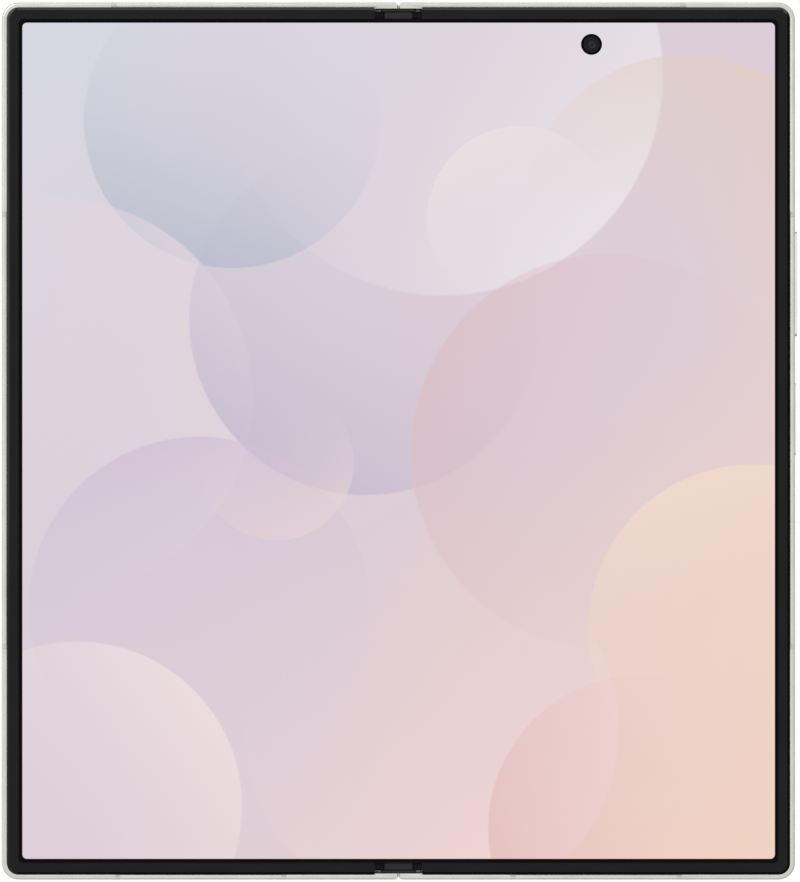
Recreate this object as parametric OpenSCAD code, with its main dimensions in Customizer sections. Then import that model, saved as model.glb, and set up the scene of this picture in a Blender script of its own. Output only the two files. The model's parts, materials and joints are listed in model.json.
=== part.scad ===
// Book-style folding phone, lying open on its back with the flexible display up.
// +Z is up, +Y points to the top edge, +X to the edge with the keys, and the fold line is x = 0.
// z = 0 is the lowest face, the rims of the rear lenses. Heights in the modules of the two
// halves and of the hinge are measured up from the back plane, which on_back() puts at back_z.

/* [Overall size] */
// Width of the open phone, across both halves
open_w = 143.2; // [130:0.1:160]
// Height of the phone, along the fold
open_h = 158.4; // [146:0.1:175]
// Thickness of one half, from the back plane to the top of the raised rim
half_t = 4.2; // [4.1:0.05:4.6]
// Gap left between the two raised rims when the phone is closed
closed_gap = 0.5; // [0.3:0.05:0.8]

/* [Frame] */
// Radius of the frame's corners in plan
corner_r = 3; // [2.9:0.1:6]
// Radius of the frame's outer edges, front and back
edge_r = 0.45; // [0.2:0.05:0.7]
// Width of the bright lip that shows around the raised rim
lip_w = 0.9; // [0.7:0.05:1.1]
// How far the lip lies below the top of the raised rim
lip_drop = 0.4; // [0.3:0.05:0.5]
// Depth of the frame's wall, measured inwards from its outer face
frame_wall = 2.8; // [2.6:0.05:2.85]
// Thickness of the plate that carries the display
mid_plate_t = 0.45; // [0.35:0.05:0.6]
// Thickness of the frame's wall at the two ends of the fold
end_wall_t = 1.12; // [1:0.02:1.2]
// Plan radius of the frame's corners at the two ends of the fold
end_r = 0.7; // [0.4:0.05:0.9]
// Gap between the two frames along the fold
seam_gap = 0.1; // [0.06:0.02:0.2]
// Thickness of the frame's wall behind the spine
back_wall = 0.45; // [0.4:0.05:0.6]

/* [Antenna breaks] */
// Width of one antenna break
band_w = 1; // [0.6:0.1:1.4]
// Distance of the upper break in each side edge from the top edge
band_from_top = 38.3; // [35:0.1:38.6]
// Distance of the lower break in each side edge from the bottom edge
band_from_bottom = 42.1; // [35:0.1:50]
// Distance of the breaks in the top edge from the side edges
band_top_side = 20.2; // [15:0.1:26]
// Distance of the outer breaks in the bottom edge from the side edges
band_bottom_side = 20.9; // [19.6:0.1:23]
// Distance of the inner breaks in the bottom edge from the fold
band_x_inner = 20.7; // [15:0.1:25]

/* [Raised rim] */
// Distance from the frame's outer face to the rim
rim_inset = 0.93; // [0.9:0.01:1.1]
// Width of the rim
rim_w = 2.12; // [1.8:0.02:2.2]
// How far the rim stands above the display
rim_above = 0.35; // [0.3:0.05:0.45]
// Thickness of the rim's flange over the edge of the display
rim_flange_t = 0.3; // [0.2:0.02:0.32]
// Width of the bevel on the rim's outer edge
rim_bevel = 0.5; // [0.2:0.05:0.8]
// Distance of each end of the rim from the fold line
rim_end_x = 4.19; // [4.1:0.01:4.4]
// Radius of the rim's outer corner beside the fold
rim_end_r = 0.5; // [0.2:0.05:0.8]
// Corner radius of the opening in the rim
rim_open_r = 0.9; // [0.5:0.05:2]

/* [Inner display] */
// Thickness of the flexible panel
panel_t = 0.25; // [0.2:0.01:0.3]
// Thickness of the metal layer behind the panel
backing_t = 0.15; // [0.1:0.01:0.2]
// Distance from the frame's outer face to the edge of the display
display_inset = 2.2; // [2.1:0.05:2.4]
// Corner radius of the display
display_r = 1.6; // [1:0.1:3]
// Half the width of the stretch that bends
bend_half_w = 4.2; // [4.1:0.05:4.4]
// Distance from the top and bottom edges to the stretch that bends
bend_inset = 3; // [2.8:0.05:3.6]
// Distance of the inner camera from the fold line
inner_camera_x = 34.85; // [25:0.05:45]
// Distance of the inner camera from the top edge
inner_camera_top = 7.6; // [6.7:0.05:9]
// Radius of the inner camera's hole in the display
inner_camera_r = 1.9; // [1.5:0.05:2]

/* [Hinge] */
// Height of the two fold axes above the back plane
pivot_h = 3.1; // [3:0.02:3.15]
// Running gap between the spine and the cradles around it
spine_gap = 0.1; // [0.06:0.01:0.15]
// Thickness of the spine's shell
spine_wall = 0.3; // [0.25:0.01:0.35]
// Distance from the spine's ends to the frames' end walls
spine_end_gap = 0.13; // [0.08:0.01:0.2]
// Distance of the middle of each hinge module from the nearer end of the fold
module_inset = 27.2; // [22:0.2:34]
// Half the length of one hinge module
module_half = 15; // [14.8:0.1:17]
// Width of one arc rail
rail_w = 5; // [3:0.1:5.5]
// Distance of an arc rail's middle from the middle of its module
rail_y = 11.5; // [11.2:0.1:12]
// Inner radius of the arc rails
rail_r_in = 1.2; // [1.1:0.02:1.3]
// Outer radius of the arc rails
rail_r_out = 1.85; // [1.75:0.02:1.9]
// Running clearance of the arc rails in their grooves
rail_fit = 0.06; // [0.03:0.01:0.09]
// Angle of arc rail below its plate, in degrees
rail_angle = 115; // [105:1:118]

/* [Synchronising gears] */
// Number of teeth on each gear
gear_teeth = 10; // [10:2:12]
// Pitch diameter of each gear
gear_pitch_d = 1.4; // [1.36:0.01:1.4]
// Face width of the gears
gear_w = 3; // [2:0.1:3.2]
// Distance of the gears' middle from the middle of their module
gear_y = 5.2; // [4.8:0.1:5.8]
// Height of the gear shafts above the back plane
shaft_h = 1.97; // [1.96:0.01:2.02]
// Radius of the gear shafts
shaft_r = 0.3; // [0.25:0.01:0.32]
// Radial running clearance of a gear on its shaft
shaft_fit = 0.03; // [0.02:0.005:0.05]
// Length of a synchronising arm from its shaft
arm_l = 6.5; // [5.5:0.1:8]
// Thickness of a synchronising arm
arm_t = 0.5; // [0.4:0.02:0.52]

/* [Support plates] */
// Thickness of the swinging support plates
wing_t = 0.3; // [0.25:0.01:0.32]
// Radius of the rolled edge that a support plate turns on
wing_roll_r = 0.22; // [0.2:0.01:0.22]
// Running clearance of the rolled edge in its groove
wing_fit = 0.04; // [0.02:0.01:0.06]
// Distance of a support plate's free edge from the fold line
wing_x_in = 1.45; // [1.42:0.01:1.7]
// Half the width of the centre plate on the spine
centre_half_w = 1.25; // [1:0.01:1.28]

/* [Back of the phone] */
// Thickness of the back glass and of the cover glass
cover_t = 0.5; // [0.4:0.05:0.6]
// Distance from the frame's outer face to the back glass
glass_inset = 1.25; // [1.15:0.05:1.5]
// Height of the camera island above the back plane
island_t = 1.6; // [1:0.1:2.5]
// Height of the lens rims above the camera island
lens_rim_t = 0.4; // [0.3:0.05:0.8]
// Width of the camera island
island_w = 20; // [18:0.5:23]
// Length of the camera island
island_l = 46; // [44:0.5:52]
// Corner radius of the camera island
island_r = 6; // [3:0.5:9]
// Distance of the camera island's middle from the side edge
island_side = 14.1; // [13:0.1:16]
// Distance of the camera island's middle from the top edge
island_top = 27.2; // [26:0.2:32]
// Distance from one rear lens to the next
lens_pitch = 14.2; // [13.8:0.1:15]
// Outer radius of a lens rim
lens_rim_r = 6.5; // [6:0.1:6.8]
// Radius of a rear lens's cover glass
lens_glass_r = 5.3; // [4.5:0.1:5.6]

/* [Keys] */
// Length of the volume key
volume_l = 18.85; // [14:0.05:22]
// Distance of the volume key's middle from the top edge
volume_top = 50.82; // [50.2:0.01:53]
// How far the volume key stands out of the frame
volume_out = 0.45; // [0.2:0.05:0.6]
// Length of the power key
power_l = 13.1; // [10:0.1:15]
// Distance from the middle of the volume key to the middle of the power key
key_pitch = 24.43; // [23:0.01:28]
// How far the power key stands out of the frame
power_out = 0.22; // [0.21:0.01:0.5]
// Height of the keys, across the frame
key_h = 1.5; // [1.3:0.05:1.6]
// Clearance of a key in its slot, on each side
key_fit = 0.08; // [0.06:0.01:0.12]
// Travel of the power key
key_travel = 0.2; // [0.1:0.02:0.24]

/* [Port, tray and sound openings] */
// Width of the charging port's opening
port_w = 8.6; // [8.34:0.02:8.94]
// Height of the charging port's opening
port_h = 2.56; // [2.5:0.01:2.6]
// Distance of the charging port's middle from the fold line
port_x = 35.6; // [32:0.1:38]
// Length of the charging port
port_l = 7.3; // [6.5:0.1:8]
// Width of the card tray's outer face
tray_w = 14.5; // [13.5:0.1:16]
// Height of the card tray's outer face
tray_h = 1.5; // [1.3:0.05:1.6]
// Distance of the card tray's middle from the fold line
tray_x = 36; // [32:0.5:38]
// Length of the card tray
tray_l = 22; // [19:0.5:24]
// Radius of a sound hole
sound_r = 0.45; // [0.3:0.05:0.6]
// Distance from one sound hole to the next
sound_pitch = 1.9; // [1.5:0.1:2]
// Distance of the innermost sound hole from the side edge
sound_side = 18; // [16:0.1:22]
// Number of sound holes in each row
sound_count = 6; // [3:1:6]

/* [Inside] */
// Gap between each battery and the board or speaker below it
battery_gap = 3; // [2:0.1:5]
// Gap between each battery and the board above it
board_gap = 4; // [3:0.1:6]
// Gap between the cover half's battery and the card tray
tray_gap = 5.2; // [4.5:0.1:7]
// Distance of the cover camera from the side edge
cover_camera_side = 28.5; // [24:0.1:34]
// Distance of the cover camera from the top edge
cover_camera_top = 9.2; // [8:0.1:11]
// Length of the main board
main_board_l = 49.8; // [45:0.1:50.5]
// Length of the cover half's board
cover_board_l = 25.8; // [22:0.1:26.5]
// Length of the lower board
lower_board_l = 22.8; // [18:0.1:24]
// Length of the main speaker
speaker_l = 18.8; // [14:0.1:22]
// Width of the main speaker
speaker_w = 15.2; // [12:0.1:15.4]
// Gap between the glass and the parts that lie on it
inside_gap = 0.2; // [0.1:0.05:0.3]
// Height of the batteries
battery_t = 2.1; // [1.6:0.1:2.2]
// Thickness of the circuit boards
board_t = 0.7; // [0.5:0.1:0.8]

/* [Hidden] */
$fn = 64;
half_w = open_w / 2;
half_h = open_h / 2;
back_z = island_t + lens_rim_t;
module_y = half_h - module_inset;
bend_half_h = half_h - bend_inset;
inner_camera_y = half_h - inner_camera_top;
island_x = half_w - island_side;
island_y = half_h - island_top;
volume_y = half_h - volume_top;
power_y = volume_y - key_pitch;
eps = 0.01;
over = 1;
contact = 0.05;
seat = 0.02;

// Heights above the back plane
lip_top = half_t - lip_drop;
display_top = half_t - rim_above;
panel_h = display_top - panel_t;
backing_h = panel_h - backing_t;
plate_h = backing_h - mid_plate_t;
flange_h = half_t - rim_flange_t;
middle_h = lip_top / 2;

// Fold axes, spine and the cradles in the two frames
fold_a = half_t + closed_gap / 2 - pivot_h;
cradle_r = pivot_h - back_wall;
spine_r = cradle_r - spine_gap;
spine_in_r = spine_r - spine_wall;
spine_top = pivot_h - 0.4;
bulkhead_x = fold_a + cradle_r;
bulkhead_t = 0.9;
bulkhead_end = bulkhead_x + bulkhead_t;
cradle_top = pivot_h - 0.2;
fold_end_y = half_h - end_wall_t;
spine_end = fold_end_y - spine_end_gap;
roll_r = fold_a - seam_gap / 2;
ledge_w = 1.1;
ledge_t = 0.6;
tab_w = 0.8;
tab_l = 0.55;
tab_t = 0.4;
tab_gap = 0.25;

// T-shaped caps of the spine
cap_t = 0.5;
cap_bar_half_w = 2.9;
cap_bar_d = 0.4;
cap_plate_half_w = 2.5;
cap_neck_half_w = 2.2;
cap_gap = 0.2;
cap_step = 0.4;

// Card tray
tray_face_l = 1.6;
card_pitch = 6.4;
card_rib = 0.2;
card_near = 5.5;
card_far = 14;
card_floor = 0.25;

// Swinging support plates
wing_gap = 0.03;
wing_h = backing_h - wing_gap - wing_roll_r;
wing_x = bulkhead_x + 0.45;
wing_end = bend_half_h - 0.2;
wing_notch_x = wing_x - 0.35;
notch_side = 0.5;
flex_y = 20;
flex_w = 8;
flex_t = 0.08;
flex_h = spine_top + 0.1;
flex_half_l = 9;

// Hinge modules
rail_top = plate_h - 0.1;
rail_plate_t = 0.5;
rail_plate_l = 5;
base_top = pivot_h - 0.15;
base_r = spine_in_r - seat;
arm_rise = 0.05;
arm_window_low = shaft_h + arm_rise - 0.5;
arm_window_high = shaft_h + arm_rise + arm_t + 0.4;
window_side = 0.3;
pocket_side = 0.1;
shaft_x = [-1.5 * gear_pitch_d, -0.5 * gear_pitch_d, 0.5 * gear_pitch_d, 1.5 * gear_pitch_d];
gear_module = gear_pitch_d / gear_teeth;
gear_r_out = gear_pitch_d / 2 + 0.85 * gear_module;
gear_r_root = gear_pitch_d / 2 - 1.1 * gear_module;
tooth_step = 360 / gear_teeth;
tooth_root = 0.3 * tooth_step;
tooth_tip = 0.11 * tooth_step;
ridge_half_w = 0.3;
centre_plate_h = plate_h + 0.12;
pin_l = gear_w + 2;
spring_y = -3;
spring_count = 6;
spring_pitch = 0.55;
spring_t = 0.4;
spring_r = 0.7;
spring_l = spring_count * spring_pitch;
screw_r = 0.4;
screw_from_rail = 1.4;
screw_from_gear = 2.1;
screw_ys = [rail_w / 2 - rail_y + screw_from_rail, gear_y - gear_w / 2 - screw_from_gear];
ridge_y = module_y - module_half - 3;
ridge_half_l = 3;

// Keys
key_wall = 1.3;
key_flange_t = 0.4;
key_flange_h = key_h + 0.5;
key_flange_over = 0.7;
key_pocket_h = key_flange_h + 0.3;
key_switch_gap = 1.5 * key_travel;
fulcrum_r = 0.25;
switch_h = 1.4;
switch_w = 3;
switch_y = volume_l / 4;
switch_strip_t = 0.25;
rock_gap = 0.14;

// Charging port, card tray, sound openings
port_wall = 0.12;
port_mid = cover_t + 0.05 + port_h / 2 + port_wall;
port_recess = 0.6;
tongue_w = 6.7;
tongue_t = 0.7;
tray_mid = 1.75;
tray_fit = 0.08;
tray_plate_t = 0.8;
tray_plate_w = tray_w - 1.4;
reader_wall = 0.25;
pin_hole_r = 0.4;
sound_x = half_w - sound_side;
earpiece_over = 2;

// Places inside a half
hinge_reach = 6;
inner_x = bulkhead_end + hinge_reach;
inner_x_end = half_w - frame_wall - 0.6;
inner_y = half_h - frame_wall - 0.6;
battery_h = plate_h - 0.1 - battery_t;
battery_r = 1.5;
board_h = 1.1;
chip_t = 0.9;
island_gap = 0.5;
lens_ys = [island_y - lens_pitch, island_y, island_y + lens_pitch];
barrel_r = 4.5;
flash_r = 2;
flash_x = island_x - island_w / 2 - 2 * flash_r - 2;
flash_y = island_y + lens_pitch;
cover_camera_x = half_w - cover_camera_side;
cover_camera_y = half_h - cover_camera_top;
cover_camera_r = 1.8;
camera_box = 3;
coil_r = 20;
coil_r_in = 9;
main_battery_top = inner_y - main_board_l - board_gap;
main_battery_bottom = max(lower_board_l, speaker_l) - inner_y + battery_gap;
cover_battery_top = inner_y - cover_board_l - board_gap;
cover_battery_bottom = tray_l - half_h + tray_gap;
chip_w = 11;
chip_l = 12;
chip_gap = 2;
motor_r = 5;
motor_t = 2;

// ---------- helpers ----------

module on_back() {
    translate([0, 0, back_z]) children();
}

module slab(low, high) {
    translate([0, 0, low]) linear_extrude(high - low) children();
}

module block(x0, x1, y0, y1, z0, z1) {
    translate([x0, y0, z0]) cube([x1 - x0, y1 - y0, z1 - z0]);
}

// A round bar along Y, through the point x, z
module bar_y(x, z, r, y0, y1) {
    translate([x, y0, z]) rotate([-90, 0, 0]) cylinder(r = r, h = y1 - y0);
}

// A flat section drawn in x and height, extruded along Y
module along_y(y0, y1) {
    translate([0, y1, 0]) rotate([90, 0, 0]) linear_extrude(y1 - y0) children();
}

// Plan outline from x0 to x1, with corner radius r0 at the x0 end and r1 at the x1 end
module plan(x0, x1, hy, r0, r1) {
    translate([x0 + r0, -hy]) square([x1 - x0 - r0 - r1, 2 * hy]);
    if (r0 > 0) plan_end(x0, hy, r0, -1);
    if (r1 > 0) plan_end(x1, hy, r1, 1);
}

module plan_end(x, hy, r, side) {
    translate([side > 0 ? x - r : x, r - hy]) square([r, 2 * (hy - r)]);
    for (s = [-1, 1]) translate([x - side * r, s * (hy - r)]) circle(r);
}

// A plan outline set in from the frame's outer face, from x0 outwards
module inset_plan(x0, inset, r0 = 0) {
    plan(x0, half_w - inset, half_h - inset, r0, max(corner_r - inset, 0.3));
}

// Sweeps a section around the three outer edges of a half. In the section, x runs
// inwards from the outer face and y runs up.
module three_sides(x0, inset = 0) {
    w = half_w - inset;
    h = half_h - inset;
    r = corner_r - inset;
    end_runs(x0, w - r, inset) children();
    for (s = [-1, 1]) translate([w - r, s * (h - r), 0]) rotate([0, 0, s > 0 ? 0 : -90])
        rotate_extrude(angle = 90) translate([r, 0]) mirror([1, 0]) children();
    translate([w, h - r, 0]) rotate([90, 0, 0]) linear_extrude(2 * (h - r)) mirror([1, 0]) children();
}

// The stretches of the same sweep along the top and bottom edges, from x0 to x1
module end_runs(x0, x1, inset = 0) {
    h = half_h - inset;
    translate([x0, h, 0]) rotate([90, 0, 90]) linear_extrude(x1 - x0) mirror([1, 0]) children();
    translate([x0, -h, 0]) rotate([90, 0, 90]) linear_extrude(x1 - x0) children();
}

// A wall's section with rounded outer edges
module rounded_bar(depth, height) {
    translate([edge_r, 0]) square([depth - edge_r, height]);
    translate([0, edge_r]) square([depth, height - 2 * edge_r]);
    for (h = [edge_r, height - edge_r]) translate([edge_r, h]) circle(edge_r);
}

// A slot with round ends, along Y, cut through or standing along X from x0 to x1
module pill_x(x0, x1, y, z, l, h) {
    block(x0, x1, y - (l - h) / 2, y + (l - h) / 2, z - h / 2, z + h / 2);
    for (s = [-1, 1]) translate([x0, y + s * (l - h) / 2, z]) rotate([0, 90, 0]) cylinder(d = h,
        h = x1 - x0);
}

// The same along X, cut through or standing along Y from y0 to y1
module pill_y(x, y0, y1, z, l, h) {
    block(x - (l - h) / 2, x + (l - h) / 2, y0, y1, z - h / 2, z + h / 2);
    for (s = [-1, 1]) bar_y(x + s * (l - h) / 2, z, h / 2, y0, y1);
}

// A sector of a ring around the Y axis. Angles run from +X towards +Z.
module ring_sector(r0, r1, a0, a1, w) {
    rotate([90, 0, 0]) rotate([0, 0, a0]) rotate_extrude(angle = a1 - a0)
        translate([r0, -w / 2]) square([r1 - r0, w]);
}

module mirrored() {
    mirror([1, 0, 0]) children();
}

// Repeats its children in both hinge modules, which mirror each other end to end
module in_modules() {
    for (s = [-1, 1]) translate([0, s * module_y, 0]) children();
}

// ---------- one half, drawn on the +X side ----------

module lip_section() {
    rounded_bar(lip_w, lip_top);
    translate([lip_w - eps, 0]) square([glass_inset - lip_w + eps, backing_h]);
}

module ledge_section() {
    translate([glass_inset, cover_t]) square([frame_wall - glass_inset, backing_h - cover_t]);
}

// Boxes that mark the antenna breaks in the top edge, the bottom edge and the side
module break_boxes() {
    for (x = [half_w - band_top_side])
        block(x - band_w / 2, x + band_w / 2, half_h - glass_inset, half_h + over, -over, half_t);
    for (x = [band_x_inner, half_w - band_bottom_side])
        block(x - band_w / 2, x + band_w / 2, -half_h - over, -half_h + glass_inset, -over, half_t);
    for (y = [half_h - band_from_top, band_from_bottom - half_h])
        block(half_w - glass_inset, half_w + over, y - band_w / 2, y + band_w / 2, -over, half_t);
}

module antenna_breaks() {
    intersection() {
        three_sides(bulkhead_end) lip_section();
        break_boxes();
    }
}

// The wall at each end of the fold, rolled off so that the two halves clear each other
module end_walls() {
    difference() {
        intersection() {
            end_runs(seam_gap / 2, bulkhead_end) rounded_bar(end_wall_t, lip_top);
            slab(-over, half_t) plan(seam_gap / 2, bulkhead_end + over, half_h, end_r, 0);
        }
        difference() {
            block(-over, fold_a, -half_h, half_h, pivot_h, half_t);
            bar_y(fold_a, pivot_h, roll_r, -half_h - over, half_h + over);
        }
        block(rim_end_x - contact, bulkhead_end + over, lip_w - half_h, half_h - lip_w, backing_h, half_t);
    }
}

// Small tabs on the end walls, beside the ends of the rim
module end_tabs() {
    for (s = [0, 1]) mirror([0, s, 0])
        block(rim_end_x - tab_gap - tab_w, rim_end_x - tab_gap, fold_end_y - tab_l, fold_end_y + eps,
            pivot_h, pivot_h + tab_t);
}

// The curved cradle that the spine turns in, with the wall behind the spine
module cradle() {
    difference() {
        block(seam_gap / 2, bulkhead_end, -fold_end_y - eps, fold_end_y + eps, 0, cradle_top);
        bar_y(fold_a, pivot_h, cradle_r, -fold_end_y, fold_end_y);
        block(0, fold_a, -fold_end_y, fold_end_y, back_wall, half_t);
    }
}

module half_frame() {
    difference() {
        union() {
            difference() {
                three_sides(bulkhead_end) lip_section();
                break_boxes();
            }
            three_sides(bulkhead_end) ledge_section();
            end_walls();
            end_tabs();
            cradle();
            slab(plate_h, backing_h)
                plan(wing_x, half_w - frame_wall + eps, half_h - frame_wall + eps, 0, 0);
            for (s = [-1, 1]) block(wing_x, bulkhead_end + eps, s > 0 ? fold_end_y - over : -fold_end_y,
                s > 0 ? fold_end_y : over - fold_end_y, cradle_top - eps, backing_h);
            block(wing_x, bulkhead_end, -wing_end, wing_end, cradle_top - eps, plate_h + eps);
            block(bulkhead_end - eps, bulkhead_end + ledge_w, eps - fold_end_y, fold_end_y - eps,
                cover_t, cover_t + ledge_t);
        }
        bar_y(wing_x, wing_h, wing_roll_r + wing_fit, -wing_end - contact, wing_end + contact);
        in_modules() hinge_windows();
        for (s = [-1, 1]) block(bulkhead_x - over, bulkhead_end + over,
            s * flex_y - flex_w / 2 - window_side,
            s * flex_y + flex_w / 2 + window_side, flex_h - 0.1, plate_h + eps);
    }
}

// Windows in the bulkhead for the rail brackets and for the synchronising arm
module hinge_windows() {
    for (y = [-rail_y, rail_y])
        block(fold_a, bulkhead_end + over, y - rail_w / 2 - window_side, y + rail_w / 2 + window_side,
            rail_top - rail_plate_t - pocket_side, plate_h);
    block(fold_a, bulkhead_end + over, gear_y - gear_w / 2 - window_side, gear_y + gear_w / 2 + window_side,
        arm_window_low, arm_window_high);
}

module half_rim() {
    difference() {
        union() {
            slab(backing_h, flange_h) difference() {
                inset_plan(rim_end_x, rim_inset, rim_end_r);
                plan(0, half_w - display_inset + contact, half_h - display_inset + contact, 0, display_r);
            }
            slab(flange_h, half_t) difference() {
                inset_plan(rim_end_x, rim_inset, rim_end_r);
                plan(0, half_w - rim_inset - rim_w, half_h - rim_inset - rim_w, 0, rim_open_r);
            }
        }
        three_sides(0, rim_inset)
            polygon([[-over, lip_top], [0, lip_top], [rim_bevel, half_t], [-over, half_t + over]]);
    }
}

module display_plan() {
    plan(bend_half_w, half_w - display_inset, half_h - display_inset, 0, display_r);
}

module half_backing() {
    slab(backing_h, panel_h) display_plan();
}

module half_panel() {
    slab(panel_h, display_top) display_plan();
}

module half_glass() {
    slab(0, cover_t) inset_plan(bulkhead_end + contact, glass_inset + contact);
}

module sound_holes() {
    for (i = [0 : sound_count - 1])
        translate([sound_x + i * sound_pitch, -half_h - over, middle_h]) rotate([-90, 0, 0])
            cylinder(r = sound_r, h = frame_wall + 2 * over);
}

// ---------- main half: keys, charging port and rear cameras ----------

module key_slot(y, l) {
    pill_x(half_w - key_wall - over, half_w + over, y, middle_h, l + 2 * key_fit, key_h + 2 * key_fit);
    block(half_w - frame_wall - over, half_w - key_wall, y - l / 2 - key_flange_over - window_side,
        y + l / 2 + key_flange_over + window_side, middle_h - key_pocket_h / 2,
            middle_h + key_pocket_h / 2);
}

module key(y, l, out, flange_l, gap) {
    x = half_w - key_wall - gap;
    pill_x(x - eps, half_w + out, y, middle_h, l, key_h);
    block(x - key_flange_t, x, y - flange_l / 2, y + flange_l / 2,
        middle_h - key_flange_h / 2, middle_h + key_flange_h / 2);
}

module main_frame() {
    color("silver") on_back() difference() {
        half_frame();
        key_slot(volume_y, volume_l);
        key_slot(power_y, power_l);
        pill_y(port_x, -half_h - over, -half_h + frame_wall + over, port_mid,
            port_w + 2 * port_wall, port_h + 2 * port_wall);
        block(port_x - port_w / 2 - contact * 4, port_x + port_w / 2 + contact * 4,
            -half_h + frame_wall - eps,
            port_l + over - half_h, plate_h - over, backing_h + eps);
        sound_holes();
        translate([inner_camera_x, inner_camera_y, plate_h - over])
            cylinder(r = inner_camera_r + 0.8, h = half_t);
    }
}

module main_antenna_breaks() {
    color("gainsboro") on_back() antenna_breaks();
}

module main_rim() {
    color("dimgray") on_back() half_rim();
}

module camera_hole(r) {
    translate([inner_camera_x, inner_camera_y, 0]) cylinder(r = r, h = half_t + over);
}

module main_display_panel() {
    color("lavender") on_back() difference() {
        half_panel();
        camera_hole(inner_camera_r);
    }
}

module main_display_backing() {
    color("darkgray") on_back() difference() {
        half_backing();
        camera_hole(inner_camera_r + 0.3);
    }
}

module inner_camera() {
    color("black") on_back() translate([inner_camera_x, inner_camera_y, 0]) {
        translate([-camera_box, -camera_box, board_h])
            cube([2 * camera_box, 2 * camera_box, plate_h - inside_gap - board_h]);
        translate([0, 0, plate_h - 0.3]) cylinder(r = inner_camera_r - 0.1, h = panel_h - plate_h + 0.4);
    }
}

module back_glass() {
    color("slategray") on_back() difference() {
        half_glass();
        for (y = lens_ys) translate([island_x, y, -over])
            cylinder(r = barrel_r + island_gap, h = cover_t + 2 * over);
        translate([flash_x, flash_y, -over]) cylinder(r = flash_r + contact, h = cover_t + 2 * over);
    }
}

module camera_island() {
    color("silver") on_back() difference() {
        translate([0, island_y, 0]) slab(-island_t, 0)
            plan(island_x - island_w / 2, island_x + island_w / 2, island_l / 2, island_r, island_r);
        for (y = lens_ys) translate([island_x, y, -island_t - over])
            cylinder(r = barrel_r + island_gap, h = island_t + 2 * over);
        for (y = lens_ys) translate([island_x, y, -island_t - over])
            cylinder(r = lens_glass_r + contact, h = lens_rim_t + over);
    }
}

module lens_rims() {
    color("gray") on_back() for (y = lens_ys) translate([island_x, y, -back_z]) difference() {
        cylinder(r = lens_rim_r, h = lens_rim_t);
        translate([0, 0, -over]) cylinder(r = lens_glass_r + contact, h = lens_rim_t + 2 * over);
    }
}

module lens_glasses() {
    color("black") on_back() for (y = lens_ys) translate([island_x, y, contact - back_z])
        cylinder(r = lens_glass_r, h = 2 * lens_rim_t - contact);
}

module rear_cameras() {
    color("dimgray") on_back() for (y = lens_ys) translate([island_x, y, 0]) {
        translate([0, 0, lens_rim_t + contact - island_t]) cylinder(r = barrel_r,
            h = island_t - lens_rim_t + cover_t);
        translate([-island_gap - barrel_r, -island_gap - barrel_r, cover_t + contact])
            cube([2 * (barrel_r + island_gap), 2 * (barrel_r + island_gap),
                plate_h - cover_t - 2 * contact]);
    }
}

module flash_lens() {
    color("ivory") on_back() translate([flash_x, flash_y, 0]) {
        cylinder(r = flash_r, h = cover_t);
        cylinder(r = flash_r - 0.5, h = board_h);
    }
}

module battery(y0, y1) {
    slab(battery_h, battery_h + battery_t)
        translate([0, (y0 + y1) / 2]) plan(inner_x, inner_x_end, (y1 - y0) / 2, battery_r, battery_r);
}

module main_battery() {
    color("dimgray") on_back() battery(main_battery_bottom, main_battery_top);
}

// A shielded chip on a board whose lower inner corner is at x, y
module chip(x, y, i, j) {
    translate([x + chip_gap + (chip_w + chip_gap) * i, y + chip_gap + (chip_l + chip_gap) * j,
        board_h + board_t - eps])
        cube([chip_w, chip_l, chip_t]);
}

module main_board() {
    x_end = island_x - barrel_r - island_gap - chip_gap / 2;
    y0 = inner_y - main_board_l;
    color("darkgreen") on_back() difference() {
        union() {
            block(inner_x, x_end, y0, inner_y, board_h, board_h + board_t);
            for (i = [0 : floor((x_end - inner_x) / (chip_w + chip_gap)) - 1], j = [0 : 1])
                chip(inner_x, y0, i, j);
        }
        block(inner_camera_x - camera_box - inside_gap, inner_camera_x + camera_box + inside_gap,
            inner_camera_y - camera_box - inside_gap, half_h, 0, half_t);
        translate([flash_x, flash_y, 0]) cylinder(r = flash_r, h = half_t);
    }
}

module charging_coil() {
    x = (inner_x + inner_x_end) / 2;
    y = (main_battery_bottom + main_battery_top) / 2;
    color("orange") on_back() translate([x, y, cover_t]) difference() {
        cylinder(r = coil_r, h = inside_gap);
        translate([0, 0, -over]) cylinder(r = coil_r_in, h = inside_gap + 2 * over);
    }
}

module lower_board() {
    color("darkgreen") on_back() difference() {
        block(inner_x, inner_x_end - speaker_w - inside_gap, -inner_y, lower_board_l - inner_y,
            board_h, board_h + board_t);
        block(port_x - port_w / 2 - port_wall - inside_gap, port_x + port_w / 2 + port_wall + inside_gap,
            -half_h, port_l + inside_gap - half_h, 0, half_t);
        translate([inner_x + motor_r, motor_r - inner_y, 0]) cylinder(r = motor_r + inside_gap, h = half_t);
    }
}

module charging_port() {
    y0 = port_recess - half_h;
    y1 = port_l - half_h;
    color("silver") on_back() {
        difference() {
            pill_y(port_x, y0, y1, port_mid, port_w + 2 * port_wall, port_h + 2 * port_wall);
            pill_y(port_x, y0 - over, y1 - 0.8, port_mid, port_w, port_h);
        }
        block(port_x - tongue_w / 2, port_x + tongue_w / 2, y0 + 0.6, y1 - 0.4,
            port_mid - tongue_t / 2, port_mid + tongue_t / 2);
    }
}

module main_speaker() {
    color("black") on_back() block(inner_x_end - speaker_w, inner_x_end, -inner_y, speaker_l - inner_y,
        cover_t + inside_gap, plate_h - inside_gap / 2);
}

module vibration_motor() {
    color("lightgray") on_back() translate([inner_x + motor_r, motor_r - inner_y, cover_t + inside_gap])
        cylinder(r = motor_r, h = motor_t);
}

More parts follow.
